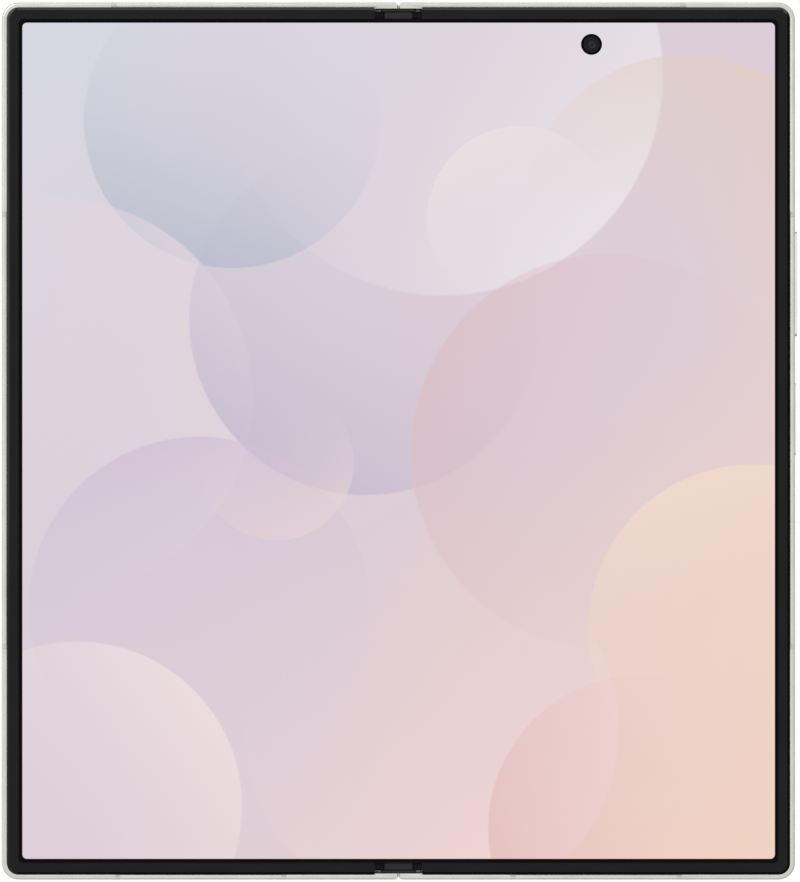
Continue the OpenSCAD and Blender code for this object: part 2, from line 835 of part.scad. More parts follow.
module key_switches() {
    x0 = half_w - frame_wall - contact;
    x1 = half_w - key_wall - rock_gap - key_flange_t;
    h0 = middle_h - switch_h / 2;
    h1 = middle_h + switch_h / 2;
    color("gold") on_back() {
        for (y = [volume_y - switch_y, volume_y + switch_y, power_y])
            block(x0 - eps, x1 - key_switch_gap, y - switch_w / 2, y + switch_w / 2, h0, h1);
        block(x0 - eps, x1 - fulcrum_r - contact, volume_y - fulcrum_r, volume_y + fulcrum_r, h0, h1);
        block(x0 - switch_strip_t, x0, power_y - power_l / 2, volume_y + volume_l / 2, h0, h1);
    }
}

module volume_key() {
    color("white") on_back() {
        key(volume_y, volume_l, volume_out, 2 * (switch_y + switch_w / 2), rock_gap);
        translate([half_w - key_wall - rock_gap - key_flange_t, volume_y, middle_h - switch_h / 2])
            cylinder(r = fulcrum_r, h = switch_h);
    }
}

module power_key() {
    color("white") on_back() key(power_y, power_l, power_out, power_l + 2 * key_flange_over, contact);
}

// ---------- cover half: outer display, card tray and earpiece ----------

module tray_opening() {
    pill_y(tray_x, -half_h - over, -half_h + frame_wall + over, tray_mid, tray_w + 2 * tray_fit,
        tray_h + 2 * tray_fit);
    translate([tray_x + tray_w / 2 + 1.6, -half_h - over, tray_mid]) rotate([-90, 0, 0])
        cylinder(r = pin_hole_r, h = frame_wall + 2 * over);
}

module cover_frame() {
    color("silver") on_back() mirrored() difference() {
        half_frame();
        tray_opening();
        mirror([0, 1, 0]) sound_holes();
    }
}

module cover_antenna_breaks() {
    color("gainsboro") on_back() mirrored() antenna_breaks();
}

module cover_rim() {
    color("dimgray") on_back() mirrored() half_rim();
}

module cover_side_display_panel() {
    color("lavender") on_back() mirrored() half_panel();
}

module cover_side_display_backing() {
    color("darkgray") on_back() mirrored() half_backing();
}

module cover_glass() {
    color("black") on_back() mirrored() half_glass();
}

module cover_display() {
    color("darkslateblue") on_back() mirrored() difference() {
        slab(cover_t, cover_t + 0.4) plan(bulkhead_end + ledge_w + contact, half_w - frame_wall - contact,
            half_h - frame_wall - contact, 1, 1);
        translate([cover_camera_x, cover_camera_y, 0]) cylinder(r = cover_camera_r, h = half_t);
    }
}

module cover_camera() {
    color("black") on_back() mirrored() translate([cover_camera_x, cover_camera_y, 0]) {
        translate([0, 0, cover_t]) cylinder(r = cover_camera_r - 0.1, h = 1);
        translate([-camera_box, -camera_box, board_h])
            cube([2 * camera_box, 2 * camera_box, plate_h - inside_gap - board_h]);
    }
}

module cover_battery() {
    color("dimgray") on_back() mirrored() difference() {
        battery(cover_battery_bottom, cover_battery_top);
        block(0, half_w, -half_h, half_h, 0, cover_t + 0.4 + contact);
    }
}

module cover_board() {
    y0 = inner_y - cover_board_l;
    color("darkgreen") on_back() mirrored() difference() {
        union() {
            block(inner_x, inner_x_end, y0, inner_y, board_h, board_h + board_t);
            for (i = [0 : 1]) chip(inner_x, y0, i, 0);
        }
        block(cover_camera_x - camera_box - inside_gap, cover_camera_x + camera_box + inside_gap,
            cover_camera_y - camera_box - inside_gap, half_h, 0, half_t);
        block(sound_x - earpiece_over - inside_gap, half_w, y0 + cover_board_l / 2, half_h, 0, half_t);
    }
}

module earpiece_speaker() {
    color("black") on_back() mirrored() block(sound_x - earpiece_over, inner_x_end,
        inner_y - cover_board_l / 2 + inside_gap,
        inner_y, board_h, plate_h - inside_gap / 2);
}

module tray_reader() {
    w = tray_plate_w / 2;
    low = tray_mid - tray_plate_t / 2 - tray_fit;
    high = tray_mid + tray_plate_t / 2 + tray_fit;
    y1 = tray_l + 1.4 - half_h;
    color("lightgray") on_back() mirrored() difference() {
        block(tray_x - w - tray_fit - reader_wall, tray_x + w + tray_fit + reader_wall,
            -half_h + frame_wall + 0.3, y1,
            low - reader_wall, high + reader_wall);
        block(tray_x - w - tray_fit, tray_x + w + tray_fit, -half_h, y1 - 0.6, low, high);
    }
}

module card_tray() {
    w = tray_plate_w / 2;
    color("silver") on_back() mirrored() difference() {
        union() {
            pill_y(tray_x, -half_h, tray_face_l - half_h, tray_mid, tray_w, tray_h);
            block(tray_x - w, tray_x + w, tray_face_l - eps - half_h, tray_l - half_h,
                tray_mid - tray_plate_t / 2, tray_mid + tray_plate_t / 2);
        }
        for (i = [-1, 0]) block(tray_x + card_pitch * i + card_rib, tray_x + card_pitch * (i + 1) - card_rib,
            card_near - half_h, card_far - half_h, tray_mid - card_floor, tray_mid + tray_h);
    }
}

// ---------- spine and hinge ----------

// Section of the spine: the lower halves of two rounds about the fold axes, joined
module spine_section(r, top) {
    intersection() {
        union() {
            for (s = [-1, 1]) translate([s * fold_a, pivot_h]) circle(r);
            translate([-fold_a, pivot_h - r]) square([2 * fold_a, r]);
        }
        translate([-fold_a - r - over, -over]) square([2 * (fold_a + r + over), top + over]);
    }
}

module hinge_spine() {
    color("silver") on_back() difference() {
        along_y(-spine_end, spine_end) difference() {
            spine_section(spine_r, spine_top);
            spine_section(spine_in_r, half_t);
        }
        in_modules() {
            for (y = [-rail_y, rail_y]) block(-half_w, half_w, y - rail_w / 2 - window_side,
                y + rail_w / 2 + window_side, rail_top - rail_plate_t - contact, half_t);
            block(-half_w, half_w, gear_y - gear_w / 2 - window_side, gear_y + gear_w / 2 + window_side,
                shaft_h + arm_rise - contact, half_t);
        }
    }
}

module rail_grooves() {
    for (y = [-rail_y, rail_y], m = [0, 1]) mirror([m, 0, 0]) {
        y0 = y - rail_w / 2 - pocket_side;
        y1 = y + rail_w / 2 + pocket_side;
        difference() {
            intersection() {
                bar_y(fold_a, pivot_h, rail_r_out + rail_fit, y0, y1);
                block(ridge_half_w + contact, half_t + fold_a, y0, y1, 0, half_t);
            }
            bar_y(fold_a, pivot_h, rail_r_in - rail_fit, y0 - over, y1 + over);
        }
        block(fold_a + rail_r_in, half_w, y0, y1, rail_top - rail_plate_t - contact, half_t);
    }
}

module hinge_bases() {
    color("gray") on_back() in_modules() difference() {
        along_y(-module_half, module_half) {
            spine_section(base_r, base_top);
            translate([-ridge_half_w, base_top - over]) square([2 * ridge_half_w,
                over + centre_plate_h - base_top]);
        }
        rail_grooves();
        block(-half_w, half_w, gear_y - gear_w / 2 - pocket_side, gear_y + gear_w / 2 + pocket_side,
            shaft_h - gear_r_out - contact, half_t);
        for (s = [-1, 1]) block(s > 0 ? gear_pitch_d : -half_w, s > 0 ? half_w : -gear_pitch_d,
            spring_y - spring_l / 2 - pocket_side, spring_y + spring_l / 2 + pocket_side,
            shaft_h - spring_r - contact, half_t);
        for (x = shaft_x) bar_y(x, shaft_h, shaft_r + seat / 2, spring_y - spring_l / 2 - over,
            gear_y + pin_l / 2);
        for (y = screw_ys) translate([0, y, -over]) cylinder(r = screw_r, h = half_t);
    }
}

module base_screws() {
    color("dimgray") on_back() in_modules() for (y = screw_ys) translate([0, y, 0]) {
        translate([0, 0, pivot_h - spine_in_r]) cylinder(r = screw_r - seat / 2,
            h = base_top - pivot_h + spine_in_r - 0.5);
    }
}

// T-shaped caps that close the spine's ends and fill the gap between the rims
module spine_end_caps() {
    bar_y0 = spine_end - cap_bar_d;
    color("dimgray") on_back() for (s = [0, 1]) mirror([0, s, 0]) {
        along_y(spine_end - cap_t, spine_end) spine_section(base_r, spine_top);
        block(-cap_bar_half_w, cap_bar_half_w, bar_y0, spine_end, spine_top - over, panel_h);
        block(-cap_plate_half_w, cap_plate_half_w, bend_half_h + contact, bar_y0 - cap_gap,
            backing_h - cap_step, panel_h - contact);
        block(-cap_neck_half_w, cap_neck_half_w, bend_half_h + cap_step, bar_y0 + eps,
            spine_top - cap_step, backing_h - cap_step + eps);
    }
}

module centre_plate() {
    color("gray") on_back() {
        block(-centre_half_w, centre_half_w, -wing_end, wing_end, centre_plate_h, backing_h - wing_gap);
        for (s = [-1, 1]) block(-ridge_half_w, ridge_half_w, s * ridge_y - ridge_half_l,
            s * ridge_y + ridge_half_l,
            pivot_h - spine_in_r, centre_plate_h + eps);
    }
}

module gear_shafts() {
    color("lightgray") on_back() in_modules() for (x = shaft_x) {
        outer = abs(x) > gear_pitch_d;
        bar_y(x, shaft_h, shaft_r,
            outer ? spring_y - spring_l / 2 - over + contact : gear_y - pin_l / 2,
                gear_y + pin_l / 2 - contact);
    }
}

module disc_springs() {
    color("silver") on_back() in_modules() for (x = [shaft_x[0], shaft_x[3]], i = [0 : spring_count - 1])
        translate([x, spring_y + (i - (spring_count - 1) / 2) * spring_pitch - spring_t / 2, shaft_h])
            rotate([-90, 0, 0]) difference() {
                cylinder(r = spring_r, h = spring_t);
                translate([0, 0, -over]) cylinder(r = shaft_r + seat / 2, h = spring_t + 2 * over);
            }
}

module display_bend() {
    color("lavender") on_back()
        block(-bend_half_w, bend_half_w, -bend_half_h, bend_half_h, backing_h, display_top);
}

module hinge_flex_leads() {
    color("darkorange") on_back() for (s = [-1, 1])
        block(-flex_half_l, flex_half_l, s * flex_y - flex_w / 2, s * flex_y + flex_w / 2, flex_h,
            flex_h + flex_t);
}

module rail_brackets() {
    in_modules() for (y = [-rail_y, rail_y]) {
        translate([fold_a, y, pivot_h]) mirrored() ring_sector(rail_r_in, rail_r_out, 180,
            180 + rail_angle, rail_w);
        block(fold_a + rail_r_in + 0.3, bulkhead_end + rail_plate_l, y - rail_w / 2, y + rail_w / 2,
            rail_top - rail_plate_t, rail_top);
        block(bulkhead_end + 0.1, bulkhead_end + rail_plate_l, y - rail_w / 2, y + rail_w / 2,
            rail_top - eps, plate_h);
    }
}

module main_rail_brackets() {
    color("darkgray") on_back() rail_brackets();
}

module cover_rail_brackets() {
    color("darkgray") on_back() mirrored() rail_brackets();
}

// Tooth outlines of a gear in x and height. phase turns the whole gear.
module gear_outline(phase) {
    polygon([for (i = [0 : gear_teeth - 1], k = [0 : 3])
        let (half = (k == 0 || k == 3) ? tooth_root : tooth_tip)
        let (a = phase + i * tooth_step + (k < 2 ? -half : half))
        let (r = (k == 0 || k == 3) ? gear_r_root : gear_r_out)
        [r * cos(a), r * sin(a)]]);
}

module gear(x, phase) {
    difference() {
        translate([x, 0, shaft_h]) along_y(gear_y - gear_w / 2, gear_y + gear_w / 2) gear_outline(phase);
        bar_y(x, shaft_h, shaft_r + shaft_fit, gear_y - gear_w, gear_y + gear_w);
    }
}

module sync_arm(x, phase, side) {
    root = x + side * (shaft_r + shaft_fit + 0.1);
    end = x + side * arm_l;
    gear(x, phase);
    block(min(root, end), max(root, end), gear_y - gear_w / 2, gear_y + gear_w / 2,
        shaft_h + arm_rise, shaft_h + arm_rise + arm_t);
}

module cover_sync_arms() {
    color("lightgray") on_back() in_modules() sync_arm(shaft_x[0], 0, -1);
}

module cover_idler_gears() {
    color("gold") on_back() in_modules() gear(shaft_x[1], tooth_step / 2);
}

module main_idler_gears() {
    color("gold") on_back() in_modules() gear(shaft_x[2], 0);
}

module main_sync_arms() {
    color("lightgray") on_back() in_modules() sync_arm(shaft_x[3], tooth_step / 2, 1);
}

// A plate under the bending stretch, turning on its rolled outer edge
module support_plate() {
    difference() {
        union() {
            block(wing_x_in, wing_x, -wing_end, wing_end, wing_h - wing_roll_r + 0.1,
                wing_h - wing_roll_r + 0.1 + wing_t);
            bar_y(wing_x, wing_h, wing_roll_r, -wing_end, wing_end);
        }
        in_modules() block(0, wing_notch_x, -module_half - notch_side, module_half + notch_side, 0, half_t);
        for (s = [-1, 1]) block(0, wing_notch_x, s * flex_y - flex_w / 2 - notch_side,
            s * flex_y + flex_w / 2 + notch_side, 0, half_t);
    }
}

module main_support_plate() {
    color("silver") on_back() support_plate();
}

module cover_support_plate() {
    color("silver") on_back() mirrored() support_plate();
}

// ---------- what is drawn ----------

main_frame();
main_antenna_breaks();
main_rim();
main_display_panel();
main_display_backing();
inner_camera();
back_glass();
camera_island();
lens_rims();
lens_glasses();
rear_cameras();
flash_lens();
main_battery();
main_board();
charging_coil();
lower_board();
charging_port();
main_speaker();
vibration_motor();
key_switches();
volume_key();
power_key();
cover_frame();
cover_antenna_breaks();
cover_rim();
cover_side_display_panel();
cover_side_display_backing();
cover_glass();
cover_display();
cover_camera();
cover_battery();
cover_board();
earpiece_speaker();
tray_reader();
card_tray();
hinge_spine();
hinge_bases();
base_screws();
spine_end_caps();
centre_plate();
gear_shafts();
disc_springs();
display_bend();
hinge_flex_leads();
main_rail_brackets();
cover_rail_brackets();
main_sync_arms();
cover_sync_arms();
main_idler_gears();
cover_idler_gears();
main_support_plate();
cover_support_plate();
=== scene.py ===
# %% [markdown]
# # A folding phone
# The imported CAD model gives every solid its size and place. This lesson dresses it: frames, rims,
# the screen, the hinge, the cameras and the small parts inside. All lengths are metres, and `MM`
# turns the millimetres of the drawing into them.

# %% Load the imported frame
import json
import math

import bmesh
import bpy
from mathutils import Matrix, Vector

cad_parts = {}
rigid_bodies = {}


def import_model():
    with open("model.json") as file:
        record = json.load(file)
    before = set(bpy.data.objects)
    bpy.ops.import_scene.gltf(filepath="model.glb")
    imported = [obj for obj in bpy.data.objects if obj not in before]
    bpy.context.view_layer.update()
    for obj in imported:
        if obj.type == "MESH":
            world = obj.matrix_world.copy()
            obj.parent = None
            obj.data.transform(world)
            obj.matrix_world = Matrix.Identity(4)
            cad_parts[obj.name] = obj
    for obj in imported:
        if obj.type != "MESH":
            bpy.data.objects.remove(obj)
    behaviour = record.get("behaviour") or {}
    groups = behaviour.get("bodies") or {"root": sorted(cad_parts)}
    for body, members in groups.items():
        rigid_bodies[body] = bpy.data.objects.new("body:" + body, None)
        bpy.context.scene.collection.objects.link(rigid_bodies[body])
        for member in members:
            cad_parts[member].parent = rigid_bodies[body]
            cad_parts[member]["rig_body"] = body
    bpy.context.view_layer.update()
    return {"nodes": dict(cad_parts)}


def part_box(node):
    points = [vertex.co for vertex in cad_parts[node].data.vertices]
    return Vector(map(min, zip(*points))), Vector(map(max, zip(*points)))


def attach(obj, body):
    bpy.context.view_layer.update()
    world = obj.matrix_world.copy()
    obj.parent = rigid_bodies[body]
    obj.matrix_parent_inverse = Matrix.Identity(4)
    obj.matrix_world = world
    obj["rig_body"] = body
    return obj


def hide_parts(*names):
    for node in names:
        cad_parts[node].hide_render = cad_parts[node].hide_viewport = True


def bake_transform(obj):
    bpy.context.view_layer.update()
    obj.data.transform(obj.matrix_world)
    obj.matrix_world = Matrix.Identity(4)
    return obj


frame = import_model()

MM = 0.001
scene = bpy.context.scene
scene.view_settings.view_transform = "Standard"
print("CAD nodes:", len(frame["nodes"]))

# %% [markdown]
# ## Short words for materials
# A finish on a real product is never one flat colour: anodising has a fine grain, plastic a soft
# texture, foil has creases. Each one could be a picture, but nodes that read Object coordinates
# need no unwrapping and stay sharp close up. The class keeps each recipe short enough to read.

# %% The words for nodes
def tone(red, green, blue):
    """A colour as a screen shows it, from 0 to 255, turned into the light it stands for."""
    def light(c):
        c /= 255
        return c / 12.92 if c < 0.04045 else ((c + 0.055) / 1.055) ** 2.4
    return light(red), light(green), light(blue), 1.0


class Nodes:
    """One tree of nodes, and short words that add to it."""

    def __init__(self, tree):
        self.tree = tree

    def add(self, kind, inputs=None, **settings):
        """A node with its settings, and its inputs filled by numbers or by other nodes' outputs."""
        node = self.tree.nodes.new(kind)
        for key, value in settings.items():
            setattr(node, key, value)
        for key, value in (inputs or {}).items():
            if isinstance(value, bpy.types.NodeSocket):
                self.tree.links.new(value, node.inputs[key])
            else:
                node.inputs[key].default_value = value
        return node

    def calc(self, operation, a, b=0.0):
        return self.add("ShaderNodeMath", {0: a, 1: b}, operation=operation).outputs[0]

    def span(self, value, low, high, to_low=0.0, to_high=1.0, smooth=False):
        kind = "SMOOTHSTEP" if smooth else "LINEAR"
        return self.add("ShaderNodeMapRange", {"Value": value, "From Min": low, "From Max": high,
                        "To Min": to_low, "To Max": to_high}, interpolation_type=kind).outputs[0]


# %% The Finish class
class Finish(Nodes):
    """A material and its shader, with short words for what feeds it."""

    def __init__(self, name, metallic=0.0, roughness=0.5, specular=0.5, coat=0.0, coat_roughness=0.05):
        self.material = bpy.data.materials.new(name)
        self.material.use_nodes = True
        super().__init__(self.material.node_tree)
        self.shader = self.tree.nodes["Principled BSDF"]
        for socket, value in (("Metallic", metallic), ("Roughness", roughness), ("Coat Weight", coat),
                              ("Specular IOR Level", specular), ("Coat Roughness", coat_roughness)):
            self.shader.inputs[socket].default_value = value
        self.place = self.add("ShaderNodeTexCoord").outputs["Object"]

    def mix(self, factor, a, b):
        return self.add("ShaderNodeMix", {0: factor, 6: a, 7: b}, data_type="RGBA").outputs[2]

    def mapped(self, stretch=(1, 1, 1), centre=(0, 0, 0)):
        moved = self.add("ShaderNodeVectorMath", {0: self.place, 1: centre}, operation="SUBTRACT")
        return self.add("ShaderNodeMapping", {"Vector": moved.outputs[0], "Scale": stretch}).outputs[0]

    def noise(self, size, detail=2.0, where=None):
        """Soft patches about this many millimetres wide, from 0 to 1."""
        return self.add("ShaderNodeTexNoise", {"Vector": where or self.place, "Scale": 1 / (size * MM),
                        "Detail": detail}).outputs["Fac"]

    def colour(self, factor, a, b):
        self.tree.links.new(self.mix(factor, a, b), self.shader.inputs["Base Color"])
        return self

    def rough(self, factor, low, high):
        self.tree.links.new(self.span(factor, 0.3, 0.7, low, high), self.shader.inputs["Roughness"])
        return self

    def bump(self, height, depth, strength=0.5):
        node = self.add("ShaderNodeBump", {"Height": height, "Strength": strength,
                                           "Distance": depth * MM})
        self.tree.links.new(node.outputs[0], self.shader.inputs["Normal"])
        return self


def grained(name, dark, light, grain=0.12, roughness=(0.35, 0.45), depth=0.004, stretch=(1, 1, 1), **shader):
    """The plain recipe: two near colours and a fine grain that also moves gloss and surface."""
    made = Finish(name, **shader)
    where = made.mapped(stretch)
    fine, broad = made.noise(grain, 3.0, where), made.noise(grain * 60, 1.0)
    blend = made.calc("ADD", made.calc("MULTIPLY", fine, 0.6), made.calc("MULTIPLY", broad, 0.4))
    made.colour(made.span(blend, 0.35, 0.65), dark, light).rough(fine, *roughness).bump(fine, depth)
    return made


print("a mid grey is", round(tone(128, 128, 128)[0], 3), "of full light")

# %% [markdown]
# ## Metals
# The frame is blasted and anodised aluminium: light, slightly warm, with a grain finer than a hair.
# Its sides are rougher than its lip, and the deeper tone they take is painted shade. The hinge is
# machined steel, so its grain is drawn out along one direction instead. The specular tint sets how
# bright a metal turns where the eye only grazes it, which is what draws the outline of the frame.

# %% Metals
METALS = {  # darker and lighter tone, grain in mm, roughness from and to, depth in mm, stretch
    "frame_metal": ((214, 214, 209), (230, 230, 225), 0.1, (0.3, 0.38), 0.002),
    "key_metal": ((246, 245, 243), (252, 251, 249), 0.08, (0.22, 0.3), 0.001),
    # the frame's sides: rougher, and a deeper tone that is painted shade
    "frame_side_shade": ((192, 192, 187), (206, 206, 201), 0.10, (0.5, 0.58), 0.002),
    # the frame's rolled ends at the seam: a lighter tone that is painted light
    "roll_metal_lit": ((226, 226, 221), (234, 234, 229), 0.10, (0.4, 0.48), 0.002),
    # the keys' rounded edges: a dark tone that is painted shade
    "key_side_shade": ((150, 150, 147), (160, 160, 157), 0.1, (0.4, 0.48), 0.002),
    "island_metal": ((196, 196, 192), (214, 214, 209), 0.1, (0.3, 0.4), 0.002),
    "hinge_steel": ((120, 121, 124), (158, 158, 160), 0.15, (0.25, 0.4), 0.004, (1, 0.05, 1)),
    "spine_metal": ((172, 172, 170), (196, 196, 192), 0.1, (0.28, 0.36), 0.002, (1, 0.1, 1)),
    "backing_steel": ((92, 93, 96), (120, 121, 124), 0.2, (0.3, 0.45), 0.003, (1, 0.04, 1)),
    "tab_steel": ((92, 91, 89), (106, 105, 102), 0.1, (0.4, 0.5), 0.002),
    "spring_steel": ((96, 94, 92), (140, 138, 134), 0.08, (0.25, 0.35), 0.002),
    "motor_steel": ((150, 150, 150), (176, 176, 176), 0.1, (0.25, 0.4), 0.003),
    "port_steel": ((158, 158, 156), (186, 186, 183), 0.1, (0.22, 0.34), 0.002, (1, 0.1, 1)),
    "switch_gold": ((206, 168, 96), (226, 190, 120), 0.1, (0.25, 0.35), 0.002),
}


def finishes_from(table, **shared):
    """One finish for each row of a table; a row may end in shader values of its own."""
    made = {}
    for name, (dark, light, *rest) in table.items():
        own = rest.pop() if isinstance(rest[-1], dict) else {}
        made[name] = grained(name, tone(*dark), tone(*light), *rest, **shared, **own)
    return made


finishes = finishes_from(METALS, metallic=1.0)
GRAZING_TINT = (0.5, 0.5, 0.5, 1.0)
for metal in ("frame_metal", "frame_side_shade", "key_metal"):
    finishes[metal].shader.inputs["Specular Tint"].default_value = GRAZING_TINT
print(len(finishes), "metals")

# %% [markdown]
# ## Plastics and lacquers
# The rim round the screen is moulded soft-touch plastic with a very fine spark texture. The antenna
# breaks are dyed to be a shade darker than the metal next to them, and their sides take a deeper tone
# still, which is painted shade. The parts inside are mostly black resin, foil and lacquered board.

# %% Plastics
PLASTICS = {  # as above; the last entry holds other shader values
    "rim_polymer": ((23, 24, 23), (29, 30, 29), 0.14, (0.42, 0.52), 0.004, {"specular": 0.1}),
    "rim_edge": ((5, 5, 5), (9, 9, 9), 0.14, (0.1, 0.14), 0.0005, {"specular": 0.22}),
    "cap_dark": ((28, 28, 29), (38, 38, 39), 0.12, (0.38, 0.5), 0.004, {"specular": 0.25}),
    "liner_dark": ((16, 16, 17), (22, 22, 23), 0.12, (0.45, 0.55), 0.002, {"specular": 0.15}),
    "seal_grey": ((222, 222, 218), (232, 232, 228), 0.1, (0.5, 0.6), 0.002),
    "antenna_polymer": ((198, 198, 193), (206, 206, 201), 0.2, (0.4, 0.5), 0.001),
    # the antenna breaks' sides: a deeper tone that is painted shade
    "antenna_side_shade": ((170, 170, 165), (178, 178, 173), 0.2, (0.4, 0.5), 0.001),
    "camera_black": ((22, 22, 23), (30, 30, 31), 0.1, (0.4, 0.55), 0.003, {"specular": 0.1}),
    "module_black": ((22, 22, 23), (34, 34, 35), 0.15, (0.45, 0.6), 0.004),
    "back_glass": ((196, 198, 200), (204, 206, 208), 0.06, (0.34, 0.4), 0.001,
                   {"coat": 0.15, "coat_roughness": 0.3}),
    "cover_glass": ((8, 8, 9), (12, 12, 14), 0.5, (0.05, 0.09), 0.0002, {"specular": 0.3}),
    "panel_dark": ((10, 10, 12), (16, 16, 20), 0.5, (0.15, 0.25), 0.0005),
    "flex_amber": ((150, 84, 28), (182, 108, 42), 0.3, (0.3, 0.4), 0.004, (1, 6, 1)),
}
finishes.update(finishes_from(PLASTICS))
print(len(finishes), "finishes so far")

# %% [markdown]
# A battery's foil pouch shows soft creases, a circuit board its copper tracks under green lacquer,
# a charging coil the turns of its wire, and the flash a lens with fine moulded rings. Each needs a
# pattern of its own: noise for creases, bricks for tracks, rings round a centre for coil and lens.

# %% Foil, board, coil and flash
foil = Finish("battery_wrap", metallic=0.35, roughness=0.4)
crease = foil.noise(6.0, 4.0)
foil.colour(foil.span(crease, 0.3, 0.7), tone(62, 64, 67), tone(84, 86, 90)).rough(crease, 0.3, 0.5)
foil.bump(crease, 0.12, 0.6)

board = Finish("board_green", roughness=0.35)
tracks = board.add("ShaderNodeTexBrick", {"Vector": board.place, "Scale": 1.0, "Brick Width": 2.3 * MM,
                   "Row Height": 0.45 * MM, "Mortar Size": 0.09 * MM, "Mortar Smooth": 0.2,
                   "Color1": tone(18, 70, 44), "Color2": tone(24, 84, 52), "Mortar": tone(60, 128, 74)})
board.tree.links.new(tracks.outputs["Color"], board.shader.inputs["Base Color"])
board.rough(board.noise(0.5), 0.3, 0.42).bump(tracks.outputs["Fac"], 0.02)


def ringed(name, centre, step, dark, light, depth, **shader):
    """Rings round an upright axis, such as the turns of a coil or the steps of a lens."""
    made = Finish(name, **shader)
    away = made.add("ShaderNodeVectorMath", {0: made.mapped((1, 1, 0), centre)}, operation="LENGTH")
    wave = made.calc("SINE", made.calc("MULTIPLY", away.outputs["Value"], 2 * math.pi / (step * MM)))
    made.colour(made.span(wave, -1, 1), dark, light).bump(wave, depth)
    made.rough(made.noise(0.3), 0.25, 0.4)
    return made


def middle(node):
    low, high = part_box(node)
    return (low + high) / 2


finishes.update({
    "battery_wrap": foil, "board_green": board,
    "coil_copper": ringed("coil_copper", middle("charging_coil"), 0.55, tone(140, 78, 44),
                          tone(214, 132, 84), 0.05, metallic=1.0),
    "flash_plastic": ringed("flash_plastic", middle("flash_lens"), 0.3, tone(226, 214, 176),
                            tone(244, 236, 208), 0.03, coat=0.6),
})
print("coil centre (mm):", [round(c / MM, 1) for c in middle("charging_coil")])

# %% [markdown]
# ## The picture on the screen
# The screen is a lamp, so its picture goes to Emission. It could be an image file, but a drawing
# made from nodes has no pixels. This one is a plain design: a pale ground that goes slantwise from
# cool grey through rose to peach, and large round tinted discs over it, each fading towards one
# side. One node group draws a disc, and it is used again with other centres, sizes and tints.

# %% The disc group
def disc_group():
    """One round disc: full tint on the side that Way points to, fading to none on the other."""
    tree = bpy.data.node_groups.new("tinted_disc", "ShaderNodeTree")
    colour, vector, number = "NodeSocketColor", "NodeSocketVector", "NodeSocketFloat"
    for name, kind in (("Under", colour), ("Place", vector), ("Centre", vector), ("Radius", number),
                       ("Way", vector), ("Tint", colour), ("Strength", number)):
        tree.interface.new_socket(name, in_out="INPUT", socket_type=kind)
    tree.interface.new_socket("Over", in_out="OUTPUT", socket_type=colour)
    nodes = tree.nodes
    given, out = nodes.new("NodeGroupInput").outputs, nodes.new("NodeGroupOutput")
    arm, reach, lean = (nodes.new("ShaderNodeVectorMath") for _ in range(3))
    arm.operation, reach.operation, lean.operation = "SUBTRACT", "LENGTH", "DOT_PRODUCT"
    share, inside, fade, power, amount, last = (nodes.new("ShaderNodeMath") for _ in range(6))
    share.operation = inside.operation = "DIVIDE"
    amount.operation = last.operation = "MULTIPLY"
    fade.operation, power.operation = "MULTIPLY_ADD", "POWER"
    fade.inputs[1].default_value, fade.inputs[2].default_value, fade.use_clamp = 0.5, 0.5, True
    power.inputs[1].default_value = 2.2
    edge, over = nodes.new("ShaderNodeMapRange"), nodes.new("ShaderNodeMix")
    edge.interpolation_type, over.data_type = "SMOOTHSTEP", "RGBA"
    edge.inputs["From Min"].default_value, edge.inputs["From Max"].default_value = 1.0, 0.985
    for source, target in (
            (given["Place"], arm.inputs[0]), (given["Centre"], arm.inputs[1]),
            (arm.outputs[0], reach.inputs[0]), (arm.outputs[0], lean.inputs[0]),
            (given["Way"], lean.inputs[1]), (reach.outputs["Value"], share.inputs[0]),
            (given["Radius"], share.inputs[1]), (share.outputs[0], edge.inputs["Value"]),
            (lean.outputs["Value"], inside.inputs[0]), (given["Radius"], inside.inputs[1]),
            (inside.outputs[0], fade.inputs[0]), (fade.outputs[0], power.inputs[0]),
            (power.outputs[0], amount.inputs[0]), (edge.outputs[0], amount.inputs[1]),
            (amount.outputs[0], last.inputs[0]), (given["Strength"], last.inputs[1]),
            (last.outputs[0], over.inputs[0]), (given["Under"], over.inputs[6]),
            (given["Tint"], over.inputs[7]), (over.outputs[2], out.inputs["Over"])):
        tree.links.new(source, target)
    return tree


disc_tree = disc_group()
print("nodes in one disc:", len(disc_tree.nodes))

# %% The screen's finish
LIT_HALF_W, LIT_HALF_H, LIT_R = 67.95, 75.49, 0.85  # the lit area and the radius of its corners, in mm
LIT_X, LIT_Y = 0.03, 0.04
HOLE_X, HOLE_Y, HOLE_R = 34.85, 71.6, 1.86
DRIFT_SIZE, DRIFT_REACH = 60, 40  # slow wander of the ground colours, in mm
BLACK_LINE = 0.22  # width of the blackest part of the border, in mm
COOL, ROSE, PEACH = tone(215, 215, 225), tone(220, 205, 215), tone(240, 210, 195)  # the ground
DISCS = [  # x, y, radius in mm; direction of the tint; colour; strength
    (-30, 58, 27, 250, tone(178, 187, 205), 0.8), (8, 66, 40, 330, tone(236, 234, 238), 0.8),
    (52, 40, 30, 60, tone(226, 206, 198), 0.8), (-62, 8, 36, 20, tone(226, 214, 222), 0.85),
    (-6, 22, 32, 235, tone(190, 182, 205), 0.75), (38, -2, 36, 160, tone(220, 190, 196), 0.7),
    (64, -34, 30, 110, tone(242, 218, 202), 0.8), (-36, -30, 31, 110, tone(206, 190, 212), 0.7),
    (6, -52, 34, 300, tone(240, 214, 216), 0.8), (-58, -66, 30, 40, tone(240, 224, 226), 0.8),
    (44, -70, 28, 200, tone(226, 184, 182), 0.7), (22, 40, 17, 120, tone(238, 226, 226), 0.7),
    (-22, -4, 14, 300, tone(230, 210, 214), 0.7),
]


